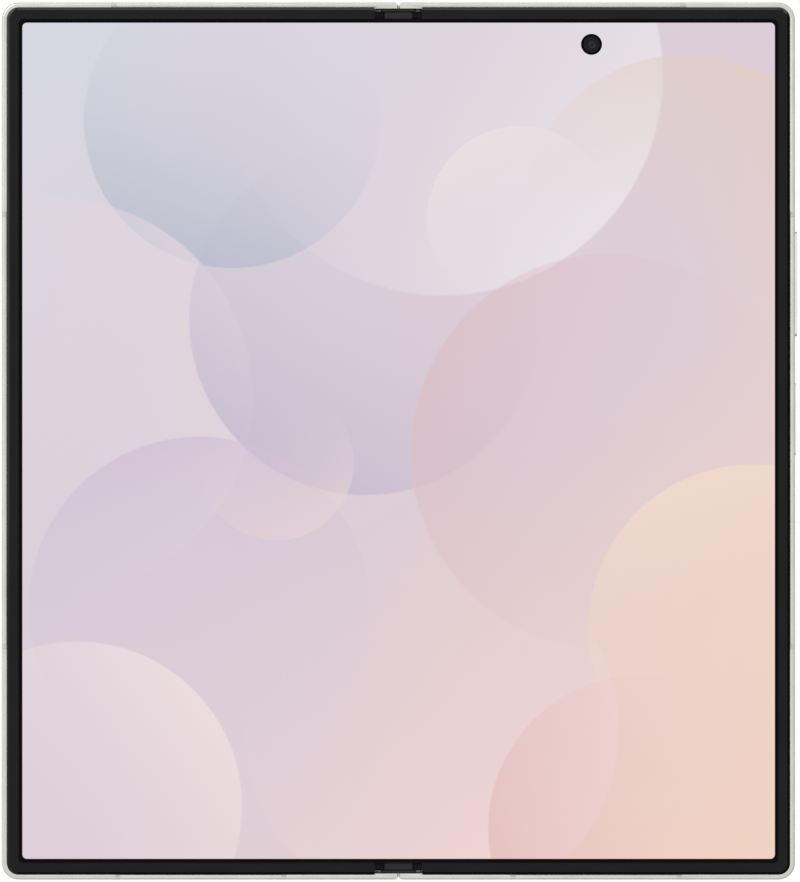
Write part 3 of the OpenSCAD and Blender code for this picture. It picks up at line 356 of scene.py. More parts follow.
def screen_finish(name, place_from=None):
    """The lit picture inside its black border, with the black edge of the camera hole."""
    made = Finish(name, roughness=0.2, specular=0.04)
    if place_from:
        made.place = made.add("ShaderNodeAttribute", attribute_name=place_from).outputs["Vector"]
    place = made.add("ShaderNodeVectorMath", {0: made.place, 1: (1 / MM, 1 / MM, 0)},
                     operation="MULTIPLY").outputs[0]
    xyz = made.add("ShaderNodeSeparateXYZ", {0: place})
    x, y = xyz.outputs[0], xyz.outputs[1]
    drift = made.calc("MULTIPLY", made.calc("SUBTRACT", made.noise(DRIFT_SIZE, 1.0), 0.5), DRIFT_REACH)
    down = made.calc("ADD", made.calc("MULTIPLY", made.calc("SUBTRACT", x, y), 0.5), drift)
    picture = made.mix(made.span(down, -LIT_HALF_H, 0.0, smooth=True), COOL, ROSE)
    picture = made.mix(made.span(down, 0.0, LIT_HALF_H, smooth=True), picture, PEACH)
    for cx, cy, radius, way, tint, strength in DISCS:
        turn = math.radians(way)
        picture = made.add("ShaderNodeGroup", {"Under": picture, "Place": place, "Centre": (cx, cy, 0),
                           "Radius": radius, "Way": (math.cos(turn), math.sin(turn), 0), "Tint": tint,
                           "Strength": strength}, node_tree=disc_tree).outputs[0]
    sides = []
    for along, mid, half in ((x, LIT_X, LIT_HALF_W), (y, LIT_Y, LIT_HALF_H)):
        away = made.calc("ABSOLUTE", made.calc("SUBTRACT", along, mid))
        sides.append(made.calc("MAXIMUM", made.calc("SUBTRACT", away, half - LIT_R), 0.0))
    out = made.calc("SQRT", made.calc("ADD", made.calc("MULTIPLY", sides[0], sides[0]),
                                      made.calc("MULTIPLY", sides[1], sides[1])))
    lit = made.span(out, LIT_R, LIT_R - 0.08)
    hole = made.add("ShaderNodeVectorMath", {0: place, 1: (HOLE_X, HOLE_Y, 0)}, operation="DISTANCE")
    lit = made.calc("MULTIPLY", lit, made.span(hole.outputs["Value"], HOLE_R, HOLE_R + 0.06))
    made.tree.links.new(made.mix(lit, tone(0, 0, 0), picture), made.shader.inputs["Emission Color"])
    made.shader.inputs["Emission Strength"].default_value = 1.0
    border = made.mix(made.span(out, LIT_R + BLACK_LINE, LIT_R + BLACK_LINE + 0.2), tone(1, 1, 1),
                      tone(17, 17, 18))
    made.tree.links.new(border, made.shader.inputs["Base Color"])
    made.rough(made.noise(8.0), 0.16, 0.24)
    return made


def depicts(name):
    return finishes[name].material


finishes["display_front"] = screen_finish("display_front")
screen_bend = screen_finish("display_front_bend", "rest_place")
print("discs on the screen:", len(DISCS))

# %% [markdown]
# ## Lens glass
# A camera lens looks dark with a coloured sheen, because its coating throws back a little violet
# and green light. A base colour that changes with the distance from the middle paints that sheen:
# its violet and green rings are a painted reflection.

# %% Lens finishes
def painted_lens_sheen(made, centre, radius, depth=1.0):
    """The distance from the middle of a lens, and the colour of its coating's painted reflection there."""
    away = made.add("ShaderNodeVectorMath", {0: made.mapped((1, 1, 0), centre)},
                    operation="LENGTH").outputs["Value"]
    ramp = made.add("ShaderNodeValToRGB", {0: made.span(away, 0.0, radius * MM)})
    for place, colour in ((0.25, (16, 12, 30)), (0.55, (52, 40, 78)), (0.8, (22, 32, 48))):
        ramp.color_ramp.elements.new(place).color = tone(*(c * depth for c in colour))
    ramp.color_ramp.elements[0].color, ramp.color_ramp.elements[-1].color = tone(6, 5, 10), tone(12, 12, 14)
    return away, ramp.outputs["Color"]


def lens_finish(name, centre, radius, coat=1.0, depth=1.0):
    made = Finish(name, roughness=0.06, specular=0.5 * coat, coat=coat, coat_roughness=0.05)
    made.tree.links.new(painted_lens_sheen(made, centre, radius, depth)[1], made.shader.inputs["Base Color"])
    made.rough(made.noise(0.6), 0.04, 0.08)
    return made


finishes["lens_metal"] = grained("lens_metal", tone(150, 150, 148), tone(178, 178, 175), 0.08, (0.16, 0.26),
                                 0.002, metallic=1.0)
finishes["lens_glass"] = grained("lens_glass", tone(6, 6, 7), tone(10, 10, 12), 0.5, (0.04, 0.08), 0.0002)
inner_eye = lens_finish("inner_eye", (HOLE_X * MM, HOLE_Y * MM, 0), 0.9, 0.3, 0.4)

# The cover camera looks through the cover glass: the glass carries its lens, whose coloured rings are a
# painted reflection, and a black ring round it.
EYE_R, RING_R, SOFT = 1.2, 1.7, 0.05
window = finishes["cover_glass"]
plain = window.shader.inputs["Base Color"].links[0].from_socket
away, rings = painted_lens_sheen(window, middle("cover_camera"), EYE_R, 1.4)
ringed_glass = window.mix(window.span(away, (RING_R + SOFT) * MM, RING_R * MM), plain, tone(1, 1, 1))
window.colour(window.span(away, (EYE_R + SOFT) * MM, EYE_R * MM), ringed_glass, rings)
finishes["gasket_black"] = grained("gasket_black", tone(2, 2, 2), tone(5, 5, 5), 0.2, (0.7, 0.8), 0.002,
                                   specular=0.02)
print("finishes:", len(finishes))

# %% Paint every CAD node
painted = 0
for name, thing in frame["nodes"].items():
    for slot in thing.material_slots:
        wanted = slot.material.name.split(".")[0]
        if wanted in finishes:
            slot.material = depicts(wanted)
            painted += 1
print("nodes painted:", painted, "of", len(frame["nodes"]))

# %% [markdown]
# ## Softened edges
# No edge of a real part is perfectly sharp: a hair-wide radius catches the light and draws the
# form. The CAD solids keep their sharp edges, so each part that shows is copied, its loose
# triangles are merged into clean faces, and a narrow bevel rounds it. Weighted normals then keep the
# large faces flat, so that only the rounded edge bends the light. The copy stands for the node.

# %% The dress helper
SMOOTH_ANGLE, BEVEL_ANGLE, FLAT_ANGLE = math.radians(32), math.radians(30), math.radians(0.6)
WELD = 0.002 * MM


def shade(mesh):
    mesh.shade_smooth()
    mesh.set_sharp_from_angle(angle=SMOOTH_ANGLE)


def finished_mesh(name, shape, *materials):
    """Turns the mesh under work into one that a piece can use, with its materials."""
    mesh = bpy.data.meshes.new(name)
    shape.to_mesh(mesh)
    shape.free()
    for material in materials:
        mesh.materials.append(material)
    shade(mesh)
    return mesh


def place_object(name, mesh, body, stands_for=()):
    """Puts a finished mesh in the scene as a piece that rides on a body."""
    thing = bpy.data.objects.new(name, mesh)
    scene.collection.objects.link(thing)
    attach(thing, body)
    if stands_for:
        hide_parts(*stands_for)
    return thing


def settled(thing):
    """Keeps the mesh that the object's modifiers make, and drops the modifiers."""
    mesh = bpy.data.meshes.new_from_object(thing.evaluated_get(bpy.context.evaluated_depsgraph_get()))
    thing.modifiers.clear()
    thing.data = mesh


def dress(node, width):
    """A softened copy that stands for the node, with an edge radius of this many millimetres."""
    source = frame["nodes"][node]
    mesh = source.data.copy()
    shape = bmesh.new()
    shape.from_mesh(mesh)
    bmesh.ops.remove_doubles(shape, verts=shape.verts, dist=WELD)
    bmesh.ops.dissolve_limit(shape, angle_limit=FLAT_ANGLE, verts=shape.verts, edges=shape.edges)
    shape.to_mesh(mesh)
    shape.free()
    thing = bpy.data.objects.new(node + "_dressed", mesh)
    scene.collection.objects.link(thing)
    if width:
        rounding = thing.modifiers.new("rounding", "BEVEL")
        rounding.width, rounding.segments, rounding.limit_method = width * MM, 2, "ANGLE"
        rounding.angle_limit, rounding.loop_slide = BEVEL_ANGLE, False
        settled(thing)
    shade(thing.data)
    even = thing.modifiers.new("even", "WEIGHTED_NORMAL")
    even.keep_sharp = True
    settled(thing)
    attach(thing, source["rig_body"])
    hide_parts(node)
    return thing


# %% Dress what shows
ROUNDING = {  # edge radius in mm; 0 keeps the drawn edges
    "main_frame": 0, "cover_frame": 0, "main_rim": 0, "cover_rim": 0, "volume_key": 0.16,
    "power_key": 0.12, "card_tray": 0.04, "camera_island": 0.3, "lens_rims": 0.09, "back_glass": 0.08,
    "cover_glass": 0.08, "flash_lens": 0.08, "charging_port": 0.04, "spine_end_caps": 0.05,
    "hinge_spine": 0.03, "vibration_motor": 0.15, "main_speaker": 0.2, "earpiece_speaker": 0.15,
    "main_battery": 0.3, "cover_battery": 0.3, "tray_reader": 0.05, "rear_cameras": 0.15,
    "cover_camera": 0.1, "base_screws": 0.05, "main_antenna_breaks": 0, "cover_antenna_breaks": 0,
    "gear_shafts": 0.03, "centre_plate": 0.03,
}
dressed = {node: dress(node, width) for node, width in ROUNDING.items()}
print("dressed:", len(dressed), "pieces,", sum(len(d.data.polygons) for d in dressed.values()), "faces")

# %% [markdown]
# ### Faces with a finish of their own
# One part often carries more than one finish: a rim is matte on top and polished on its chamfer, a
# frame is rougher on its sides. The deeper tone on the sides of frames, keys and antenna breaks is
# painted shade, and the lighter tone on the frames' rolled ends at the seam is painted light. The faces
# are picked by where they lie and which way they look, so no piece has to be cut in two.

# %% Repaint some faces
def repaint(thing, finish, chosen):
    """Gives the faces that chosen(centre in mm, normal) picks a finish of their own."""
    thing.data.materials.append(depicts(finish))
    count = 0
    for face in thing.data.polygons:
        if chosen(face.center / MM, face.normal):
            face.material_index, count = len(thing.data.materials) - 1, count + 1
    return count


def on_chamfer(c, n):
    """The polished edge of the rim."""
    return c.z > 5.7 and 0.3 < n.z < 0.97


def on_roll(c, n):
    """The rolled-off end of a frame, beside the seam, where a lighter tone is painted light."""
    return abs(c.x) < 0.8 and abs(c.y) > 78 and c.z > 4 and abs(n.y) < 0.5


def on_tab(c, n):
    """The small metal tabs beside the caps."""
    return 3.1 < abs(c.x) < 4.0 and 77.5 < abs(c.y) < 78.07 and c.z > 5.05


def steep(least, most):
    """Picks the faces whose normal has an upright part between these two."""
    return lambda c, n: least <= abs(n.z) < most


RIMS, FRAMES = ("main_rim", "cover_rim"), ("main_frame", "cover_frame")
KEYS, BREAKS = ("volume_key", "power_key"), ("main_antenna_breaks", "cover_antenna_breaks")
REPAINTS = [  # nodes, finish, and which of their faces take it; a later row wins
    (RIMS, "rim_edge", on_chamfer), (FRAMES, "frame_side_shade", steep(0.0, 0.8)),
    # the keys' upright and rounded sides take painted shade
    (KEYS, "frame_side_shade", steep(0.0, 0.2)), (KEYS, "key_side_shade", steep(0.2, 0.8)),
    (BREAKS, "antenna_side_shade", steep(0.0, 0.8)), (FRAMES, "roll_metal_lit", on_roll),
    (FRAMES, "tab_steel", on_tab),
]
for nodes, finish, chosen in REPAINTS:
    print(finish, "on", sum(repaint(dressed[node], finish, chosen) for node in nodes), "faces")

# %% [markdown]
# ## Turned pieces
# Lenses, camera barrels and rings are all round, as if cut on a lathe. A list of radius and height
# pairs is their profile, and sweeping it round an axis gives the piece. Writing the rings of points
# directly keeps the faces even, closed and facing outwards.

# %% The turned helper
def turned_mesh(name, profiles, centres, material, steps=72):
    """Closed turned solids, one for each centre. A profile is (radius, z) in mm, from axis to axis."""
    shape = bmesh.new()
    for cx, cy in centres:
        for profile in profiles:
            rings = []
            for radius, z in profile:
                angles = [2 * math.pi * i / steps for i in range(steps)] if radius else [0]
                rings.append([shape.verts.new((cx + radius * MM * math.cos(a),
                                               cy + radius * MM * math.sin(a), z * MM)) for a in angles])
            pairs = list(zip(rings, rings[1:]))
            if len(rings[0]) > 1:
                pairs.append((rings[-1], rings[0]))
            for low, high in pairs:
                for i in range(steps):
                    j = (i + 1) % steps
                    corners = low[i % len(low)], low[j % len(low)], high[j % len(high)], high[i % len(high)]
                    unique = list(dict.fromkeys(corners))
                    if len(unique) > 2:
                        shape.faces.new(unique)
    bmesh.ops.recalc_face_normals(shape, faces=shape.faces)
    return finished_mesh(name, shape, material)


# %% [markdown]
# ## The inner camera
# It sits in a hole punched in the panel: a black gasket, a matte ring and a small domed lens in a
# shallow bowl. The dome and the bowl each catch the lamp once, on opposite sides. The barrel
# reaches down to the square camera module under the screen.

# %% Barrel and gasket
low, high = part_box("inner_camera")
top, foot = high.z / MM, low.z / MM
eye_at = [(HOLE_X * MM, HOLE_Y * MM)]
barrel = [(0, foot + 0.3), (1.5, foot + 0.3), (1.5, top - 0.04), (1.46, top), (0.9, top), (0.82, top - 0.06),
          (0.82, top - 0.5), (0, top - 0.5)]
place_object("inner_camera_barrel",
             turned_mesh("inner_camera_barrel", [barrel], eye_at, depicts("camera_black")),
             "main_half", ["inner_camera"])
gasket = [(1.5, foot + 0.5), (1.84, foot + 0.5), (1.84, top - 0.16), (1.78, top - 0.1), (1.5, top - 0.1)]
place_object("inner_camera_gasket",
             turned_mesh("inner_camera_gasket", [gasket], eye_at, depicts("gasket_black")),
             "main_half")
print("inner camera top (mm):", round(top, 3))

# %% The domed lens
DOME_R, DOME_EDGE, BOWL_R, seat = 0.98, 0.46, 0.53, top - 0.26
dome_angle = math.asin(DOME_EDGE / DOME_R)
slopes = [math.radians(6 + 6 * k) for k in range(8)]
bowl = [(DOME_EDGE + BOWL_R * (math.sin(a) - math.sin(slopes[0])),
         seat + BOWL_R * (math.cos(slopes[0]) - math.cos(a))) for a in reversed(slopes)]
crown = [(DOME_R * math.sin(a), seat + DOME_R * (math.cos(a) - math.cos(dome_angle)))
         for a in [dome_angle * k / 6 for k in range(5, -1, -1)]]
eye = [(0, top - 0.48), (0.81, top - 0.48), (0.81, bowl[0][1])] + bowl + crown
place_object("inner_camera_lens", turned_mesh("inner_camera_lens", [eye], eye_at, inner_eye.material),
             "main_half")
print("lens profile points:", len(eye))

# %% Blocks with soft edges
def soft_box(shape, x0, x1, y0, y1, z0, z1, edge):
    """A block with rounded edges, in mm, added to a mesh under work."""
    verts = bmesh.ops.create_cube(shape, size=1)["verts"]
    for v in verts:
        v.co = Vector(((x0, x1)[v.co.x > 0], (y0, y1)[v.co.y > 0], (z0, z1)[v.co.z > 0])) * MM
    edges = list({e for v in verts for e in v.link_edges})
    bmesh.ops.bevel(shape, geom=edges, offset=edge * MM, segments=2, affect="EDGES", profile=0.5)


def boxes_mesh(name, boxes, material, edge):
    shape = bmesh.new()
    for values in boxes:
        soft_box(shape, *values, edge)
    return finished_mesh(name, shape, material)


block = (low.x / MM, high.x / MM, low.y / MM, high.y / MM, foot, foot + 1.6)
module = boxes_mesh("inner_camera_module", [block], depicts("module_black"), 0.25)
place_object("inner_camera_module", module, "main_half")

# %% [markdown]
# ## Seals at the fold
# Dust is the enemy of a folding screen. A thin seal closes the seam between the two frame ends, and
# a dark liner covers the end of the hinge where the rims leave a gap. Both are too small for the
# drawing, so they are plain blocks with softened edges, set against the frame.

# %% Seals and liners
def at_ends(x, y, z, sides=(-1, 1)):
    """Blocks at both ends of the fold; x and y are distances from the middle, z a height, in mm."""
    return [(*sorted((side * x[0], side * x[1])), *sorted((end * y[0], end * y[1])), *z)
            for end in (-1, 1) for side in sides]


LINER = (3.5, 4.4), (76.22, 77.52), (4.93, 5.12)
SHELF = (2.4, 3.7), (76.3, 77.6), (4.72, 4.88)
SEAM = (-0.03, 0.06), (78.12, 78.72), (2.6, 5.42)
for body, side in (("main_half", 1), ("cover_half", -1)):
    liner = boxes_mesh(f"hinge_liner_{body}", at_ends(*LINER, (side,)), depicts("liner_dark"), 0.03)
    place_object(liner.name, liner, body)
shelf = boxes_mesh("hinge_shelf", at_ends(*SHELF), depicts("liner_dark"), 0.03)
place_object(shelf.name, shelf, "spine")
seam = boxes_mesh("seam_seals", at_ends(*SEAM, (1,)), depicts("seal_grey"), 0.015)
place_object(seam.name, seam, "main_half")
print("liners and seals placed")

# %% [markdown]
# ## The rear lenses
# Each rear lens is a cover ring of black glass, a ribbed cone and a big domed front element under
# it. They look down, towards the table, so the profile runs upwards from the glass. The cone's
# small steps are what makes a camera look deep.

# %% Rear lenses
low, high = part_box("lens_glasses")
face, back = low.z / MM, high.z / MM
LENS_Y, FRONT_R, FRONT_RISE = (37.8, 52.0, 66.2), 2.28, 0.34
lens_at = [((low.x + high.x) / 2, y * MM) for y in LENS_Y]
steps = [(3.3 - 0.12 * k, face + 0.02 + 0.05 * (k + d)) for k in range(8) for d in (0, 1)]
cone = [(5.3, face + 0.06), (5.24, face), *steps, (2.3, back), (5.3, back)]
place_object("rear_lens_covers", turned_mesh("rear_lens_covers", [cone], lens_at, depicts("lens_glass")),
             "main_half", ["lens_glasses"])
for number, centre in enumerate(lens_at):
    eye = lens_finish(f"rear_eye_{number}", (*centre, 0), 2.6)
    dome = [(FRONT_R * math.cos(a), back - FRONT_RISE * math.sin(a))
            for a in [k * math.pi / 20 for k in range(10)]]
    front = [(0, back), *dome, (0, back - FRONT_RISE)]
    place_object(f"rear_lens_{number}", turned_mesh(f"rear_lens_{number}", [front], [centre], eye.material),
                 "main_half")
print("rear lenses:", len(lens_at))

# %% [markdown]
# ## The stretch of screen that bends
# A folding screen is one sheet. Over the hinge it follows the two halves, so it is made here as a fine
# grid, cut at the fold into two strips. Each strip carries its resting place as an attribute, and the
# picture is drawn from that place.

# %% The bending strips
def strip_mesh(name, x0, x1, half_y, z0, z1, materials, columns, rows, centre_y=0.0):
    """A thin closed slab with a grid on both faces, in mm, and its resting place as an attribute."""
    shape = bmesh.new()
    sheets = []
    for z in (z1, z0):
        sheets.append([[shape.verts.new(((x0 + (x1 - x0) * i / columns) * MM,
                                         (centre_y + half_y * (2 * j / rows - 1)) * MM, z * MM))
                        for j in range(rows + 1)] for i in range(columns + 1)])
    upper, lower = sheets
    under = len(materials) - 1

    def wall(i, j, k, m):
        """A narrow face between the sheets, from grid point (i, j) to grid point (k, m)."""
        shape.faces.new((upper[i][j], lower[i][j], lower[k][m], upper[k][m])).material_index = under

    for i in range(columns):
        for j in range(rows):
            shape.faces.new((upper[i][j], upper[i + 1][j], upper[i + 1][j + 1], upper[i][j + 1]))
            shape.faces.new((lower[i][j], lower[i][j + 1], lower[i + 1][j + 1],
                             lower[i + 1][j])).material_index = under
    for i in range(columns):
        wall(i, 0, i + 1, 0)
        wall(i + 1, rows, i, rows)
    for j in range(rows):
        wall(0, j + 1, 0, j)
        wall(columns, j, columns, j + 1)
    bmesh.ops.recalc_face_normals(shape, faces=shape.faces)
    mesh = finished_mesh(name, shape, *materials)
    place = mesh.attributes.new("rest_place", "FLOAT_VECTOR", "POINT")
    for vertex, entry in zip(mesh.vertices, place.data):
        entry.vector = vertex.co
    return mesh


# %% Strips and leads
SCREEN_REACH, LEAD_REACH = 3.4, 4.2  # distances from the middle, in mm
low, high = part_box("display_bend")
lead_low, lead_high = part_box("hinge_flex_leads")
for side, half, pair in ((-1, "cover", ("spine", "cover_half")), (1, "main", ("main_half", "spine"))):
    x0, x1 = sorted((0.0, side * high.x / MM))
    strip = strip_mesh(f"screen_bend_{half}", x0, x1, high.y / MM, low.z / MM, high.z / MM,
                       [screen_bend.material, depicts("backing_steel")], 24, 60)
    lead_x = sorted((0.0, side * lead_high.x / MM))
    leads = [strip_mesh(f"flex_lead_{half}_{n}", *lead_x, 4, lead_low.z / MM, lead_high.z / MM,
                        [depicts("flex_amber")], 36, 4, y) for n, y in enumerate((-20, 20))]
    for mesh, node, reach in [(strip, "display_bend", SCREEN_REACH),
                              *((lead, "hinge_flex_leads", LEAD_REACH) for lead in leads)]:
        piece = bpy.data.objects.new(mesh.name, mesh)
        scene.collection.objects.link(piece)
        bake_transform(piece)
        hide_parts(node)
print("bending strips reach x =", round(high.x / MM, 2), "mm")

# %% [markdown]
# ## Small things that repeat
# Port contacts, sound mesh, ribs of a lens ring and the small parts on a board all repeat along a
# line or a circle. Geometry Nodes do that: a tree takes named inputs for count, pitch and size,
# puts one shape on each point and turns the copies into a plain mesh. The trees are built here in
# the script, and each result is stored as an ordinary mesh.

# %% The two trees
def new_tree(name, numbers):
    tree = bpy.data.node_groups.new(name, "GeometryNodeTree")
    tree.interface.new_socket("Geometry", in_out="INPUT", socket_type="NodeSocketGeometry")
    for label, kind in numbers:
        tree.interface.new_socket(label, in_out="INPUT", socket_type=kind)
    tree.interface.new_socket("Geometry", in_out="OUTPUT", socket_type="NodeSocketGeometry")
    return tree, tree.nodes.new("NodeGroupInput").outputs, tree.nodes.new("NodeGroupOutput")


def finish_tree(tree, points, unit, out, given, scale=None):
    """Puts the unit on every point, makes the copies real and gives them their material."""
    link = tree.links.new
    copies = tree.nodes.new("GeometryNodeInstanceOnPoints")
    real = tree.nodes.new("GeometryNodeRealizeInstances")
    paint = tree.nodes.new("GeometryNodeSetMaterial")
    link(points, copies.inputs["Points"])
    link(unit, copies.inputs["Instance"])
    if scale:
        link(scale, copies.inputs["Scale"])
    for start, end in ((copies.outputs[0], real.inputs[0]), (real.outputs[0], paint.inputs[0]),
                       (given["Material"], paint.inputs["Material"]), (paint.outputs[0], out.inputs[0])):
        link(start, end)


def row_tree():
    """Blocks along a line, each with a size of its own chosen between two limits."""
    tree, given, out = new_tree("row_of_blocks", [("Count", "NodeSocketInt"), ("Start", "NodeSocketVector"),
        ("Pitch", "NodeSocketVector"), ("Size", "NodeSocketVector"), ("Least", "NodeSocketFloat"),
        ("Seed", "NodeSocketInt"), ("Material", "NodeSocketMaterial")])
    line, block, chance = (tree.nodes.new(k) for k in ("GeometryNodeMeshLine", "GeometryNodeMeshCube",
                                                       "FunctionNodeRandomValue"))
    for label, socket in (("Count", "Count"), ("Start", "Start Location"), ("Pitch", "Offset")):
        tree.links.new(given[label], line.inputs[socket])
    tree.links.new(given["Size"], block.inputs["Size"])
    tree.links.new(given["Least"], chance.inputs[2])
    tree.links.new(given["Seed"], chance.inputs["Seed"])
    finish_tree(tree, line.outputs[0], block.outputs[0], out, given, scale=chance.outputs[1])
    return tree


def ring_tree():
    """Short round ribs on a circle, each lying along the ring's axis."""
    tree, given, out = new_tree("ring_of_ribs", [("Count", "NodeSocketInt"), ("Radius", "NodeSocketFloat"),
        ("Centre", "NodeSocketVector"), ("Rib radius", "NodeSocketFloat"), ("Rib length", "NodeSocketFloat"),
        ("Material", "NodeSocketMaterial")])
    circle, rib, move = (tree.nodes.new(k) for k in ("GeometryNodeMeshCircle", "GeometryNodeMeshCylinder",
                                                     "GeometryNodeTransform"))
    rib.inputs["Vertices"].default_value = 8
    for node, label, socket in ((circle, "Count", "Vertices"), (circle, "Radius", "Radius"),
                                (rib, "Rib radius", "Radius"), (rib, "Rib length", "Depth"),
                                (move, "Centre", "Translation")):
        tree.links.new(given[label], node.inputs[socket])
    tree.links.new(circle.outputs[0], move.inputs["Geometry"])
    finish_tree(tree, move.outputs[0], rib.outputs[0], out, given)
    return tree


TREES = {"row": row_tree(), "ring": ring_tree()}


def grown_mesh(name, kind, values):
    """Runs a tree with these inputs and returns its result as a plain mesh."""
    tree = TREES[kind]
    holder = bpy.data.objects.new(name, bpy.data.meshes.new(name + "_seed"))
    scene.collection.objects.link(holder)
    modifier = holder.modifiers.new("grow", "NODES")
    modifier.node_group = tree
    for item in tree.interface.items_tree:
        if item.in_out == "INPUT" and item.name in values:
            modifier[item.identifier] = values[item.name]
    mesh = bpy.data.meshes.new_from_object(holder.evaluated_get(bpy.context.evaluated_depsgraph_get()))
    bpy.data.objects.remove(holder)
    mesh.name = name
    shade(mesh)
    return mesh


print("trees:", sorted(TREES))

# %% [markdown]
# ### Port contacts and sound mesh
# Inside the charging port a tongue carries a row of gold contacts on each face. The sound holes are
# closed from behind by fine black mesh, which keeps dust out.

# %% Port contacts
low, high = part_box("charging_port")
port_x, port_z = (low.x + high.x) / 2, (low.z + high.z) / 2
for label, z in (("upper", 0.36), ("lower", -0.36)):
    mesh = grown_mesh(f"port_contacts_{label}", "row", {
        "Count": 12, "Start": (port_x - 2.75 * MM, low.y + 2.5 * MM, port_z + z * MM),
        "Pitch": (0.5 * MM, 0, 0), "Size": (0.24 * MM, 3.0 * MM, 0.03 * MM), "Least": 1.0, "Seed": 3,
        "Material": depicts("switch_gold")})
    place_object(mesh.name, mesh, "main_half")

# %% Sound mesh
WIRE_PITCH, DISC_R, DISC_THICK = 0.16, 0.43, 0.2
DISCS, DISC_FIRST, DISC_STEP, DISC_Y, DISC_Z = 6, 53.6, 1.9, 77.9, 3.9
mesh_wire = Finish("sound_mesh", metallic=0.6, roughness=0.5)
across = mesh_wire.add("ShaderNodeSeparateXYZ", {0: mesh_wire.place}).outputs
weave = [mesh_wire.calc("SINE", mesh_wire.calc("MULTIPLY", across[i], 2 * math.pi / (WIRE_PITCH * MM)))
         for i in (0, 2)]
wires = mesh_wire.calc("MAXIMUM", *weave)
mesh_wire.colour(mesh_wire.span(wires, -0.2, 0.6), tone(4, 4, 4), tone(70, 70, 72)).bump(wires, 0.03)
for body, side in (("main_half", 1), ("cover_half", -1)):
    shape = bmesh.new()
    for i in range(DISCS):
        made = bmesh.ops.create_cone(shape, cap_ends=True, segments=24, radius1=DISC_R * MM,
                                     radius2=DISC_R * MM, depth=DISC_THICK * MM)["verts"]
        for v in made:
            v.co = Vector((side * (DISC_FIRST + DISC_STEP * i) * MM + v.co.x,
                           -side * DISC_Y * MM + v.co.z, DISC_Z * MM + v.co.y))
    bmesh.ops.recalc_face_normals(shape, faces=shape.faces)
    mesh = finished_mesh(f"sound_mesh_{body}", shape, mesh_wire.material)
    place_object(mesh.name, mesh, body)
print("contacts and mesh placed")

# %% [markdown]
# ### Lens ring ribs and board parts
# A fine ribbed band runs round each lens ring, and the lanes between the chips of each board hold
# rows of tiny parts whose sizes differ a little from one to the next. The seed is fixed, so they
# are the same each time.

# %% Ribs and board parts
ring_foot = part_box("lens_rims")[0].z
for number, (cx, cy) in enumerate(lens_at):
    mesh = grown_mesh(f"lens_ring_ribs_{number}", "ring", {
        "Count": 72, "Radius": 6.05 * MM, "Centre": (cx, cy, ring_foot + 0.04 * MM),
        "Rib radius": 0.09 * MM, "Rib length": 0.06 * MM, "Material": depicts("lens_metal")})
    place_object(mesh.name, mesh, "main_half")

for node, body in (("main_board", "main_half"), ("cover_board", "cover_half")):
    low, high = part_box(node)
    top = high.z - 0.9 * MM
    mesh = grown_mesh(f"{node}_small_parts", "row", {
        "Count": 26, "Start": (low.x + 2.2 * MM, low.y + 1.0 * MM, top + 0.2 * MM),
        "Pitch": (0.95 * MM, 0, 0), "Size": (0.5 * MM, 0.9 * MM, 0.5 * MM), "Least": 0.55, "Seed": 11,
        "Material": depicts("switch_gold")})
    place_object(mesh.name, mesh, body)
print("ribs on", len(lens_at), "rings")

# %% [markdown]
# ## Floor, light and camera
# A pale floor, a large soft light from the upper left, and a pale world that is a little darker
# towards the lower right and has a dark band low down there. Four low narrow strips stand round the
# top and the upper left, and only the polished edge of the rim shows them. The floor glows white
# for the camera, and still takes the phone's soft shadow. The camera looks straight down through a
# long lens, so the sides hardly show.

# %% Floor
FLOOR_HALF, FLOOR_DROP, FLOOR_GLOW = 1.5, 0.2 * MM, 0.8
floor_mesh = bpy.data.meshes.new("floor")
shape = bmesh.new()
bmesh.ops.create_grid(shape, x_segments=8, y_segments=8, size=FLOOR_HALF)
shape.to_mesh(floor_mesh)
shape.free()
floor_mesh.transform(Matrix.Translation((0, 0, -FLOOR_DROP)))
floor = bpy.data.objects.new("floor", floor_mesh)
scene.collection.objects.link(floor)
paper = Finish("floor_paper", roughness=0.9, specular=0.1)
seen = paper.add("ShaderNodeLightPath").outputs
white = paper.calc("MAXIMUM", paper.calc("MAXIMUM", seen["Is Camera Ray"], seen["Is Glossy Ray"]),
                   seen["Is Transmission Ray"])
pale = paper.mix(paper.noise(40, 1.0), tone(236, 236, 236), tone(242, 242, 242))
paper.colour(white, pale, tone(150, 150, 150))
paper.tree.links.new(paper.calc("MULTIPLY", white, FLOOR_GLOW), paper.shader.inputs["Emission Strength"])
paper.shader.inputs["Emission Color"].default_value = (1, 1, 1, 1)
floor_mesh.materials.append(paper.material)
print("floor:", 2 * FLOOR_HALF, "m wide")

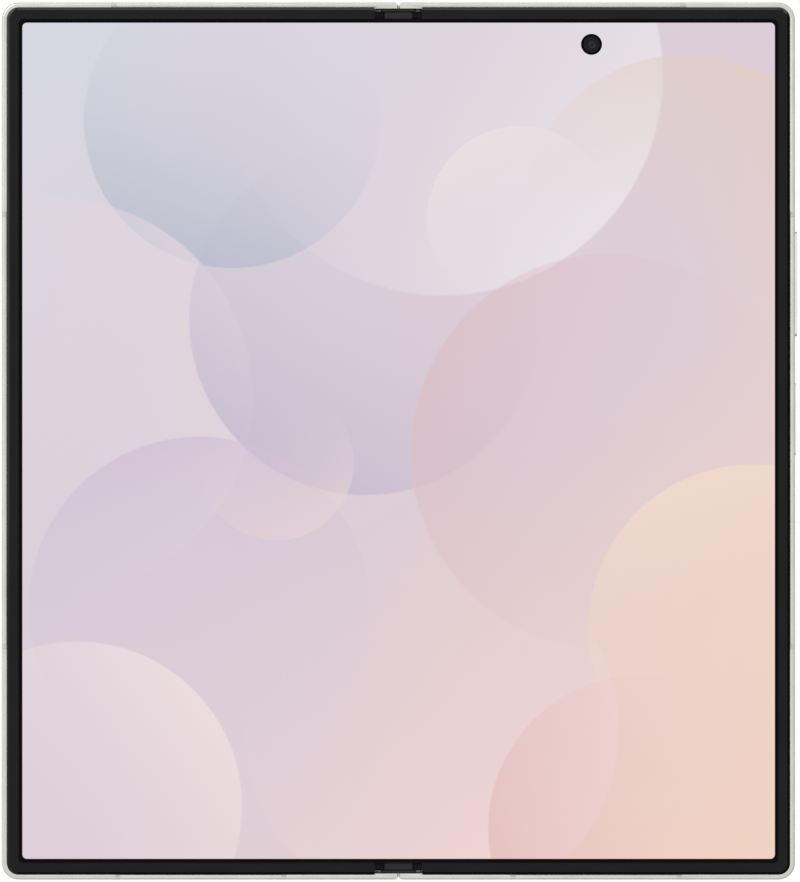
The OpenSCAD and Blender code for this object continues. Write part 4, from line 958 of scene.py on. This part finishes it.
# %% World
BRIGHT_WAY = -0.75, 0.6, 0.1  # towards the upper left
DARKEST, LIGHTEST, BAND = 0.72, 0.95, 0.12
world = bpy.data.worlds.new("pale_room")
world.use_nodes = True
scene.world = world
room = Nodes(world.node_tree)
way = room.add("ShaderNodeTexCoord").outputs["Generated"]
lean = room.add("ShaderNodeVectorMath", {0: way, 1: BRIGHT_WAY}, operation="DOT_PRODUCT").outputs["Value"]
rise = room.add("ShaderNodeSeparateXYZ", {0: way}).outputs["Z"]
in_band = room.calc("MULTIPLY", room.span(rise, 0.16, 0.27, 1.0, 0.0), room.span(lean, -0.3, -0.55))
light = room.calc("MULTIPLY", room.span(lean, -1, 1, DARKEST, LIGHTEST),
                  room.span(in_band, 0.0, 1.0, 1.0, BAND))
camera_ray = room.add("ShaderNodeLightPath").outputs["Is Camera Ray"]
sky = room.tree.nodes["Background"]
sky.inputs["Color"].default_value = (1, 1, 1, 1)
room.tree.links.new(room.span(camera_ray, 0.0, 1.0, light, 1.0), sky.inputs["Strength"])
print("world nodes:", len(room.tree.nodes))

# %% Lamps and camera
def soft_light(name, place, width, height, watts):
    lamp = bpy.data.lights.new(name, "AREA")
    lamp.shape, lamp.size, lamp.size_y, lamp.energy = "RECTANGLE", width, height, watts
    thing = bpy.data.objects.new(name, lamp)
    thing.location = place
    thing.rotation_euler = (-Vector(place)).to_track_quat("-Z", "Y").to_euler()
    scene.collection.objects.link(thing)


EDGE_AWAY, EDGE_WIDTH = 1.1, 0.055
EDGE_LIGHTS = [  # azimuth in degrees, height and length in metres, watts
    (171, 0.155, 0.44, 0.125), (135, 0.115, 0.92, 0.6), (90, 0.15, 0.92, 0.3), (54, 0.115, 0.6, 0.35),
]
soft_light("key_light", (-0.6, 0.65, 0.8), 0.75, 0.75, 2.1)
for number, (turn, height, length, watts) in enumerate(EDGE_LIGHTS):
    x, y = (EDGE_AWAY * f(math.radians(turn)) for f in (math.cos, math.sin))
    soft_light(f"edge_light_{number}", (x, y, height), length, EDGE_WIDTH, watts)

FRAME_MM, LENS, SENSOR = 159.2, 200.0, 36.0  # height seen at the rim, focal length and sensor, in mm
AIM_X, RIM_TOP = 0.28 * MM, 5.85 * MM
lens = bpy.data.cameras.new("camera")
lens.lens, lens.sensor_width, lens.clip_start = LENS, SENSOR, 0.01
camera = bpy.data.objects.new("camera", lens)
camera.location = (AIM_X, 0, RIM_TOP + FRAME_MM * MM * LENS / SENSOR)
scene.collection.objects.link(camera)
scene.camera = camera
print("camera height:", round(camera.location.z, 4), "m")

# %% [markdown]
# ## Sizes
# A helper rounds the corners of a box to six places.

# %% Sizes and finish
def corners(box):
    return [[round(float(c), 6) for c in corner] for corner in box]
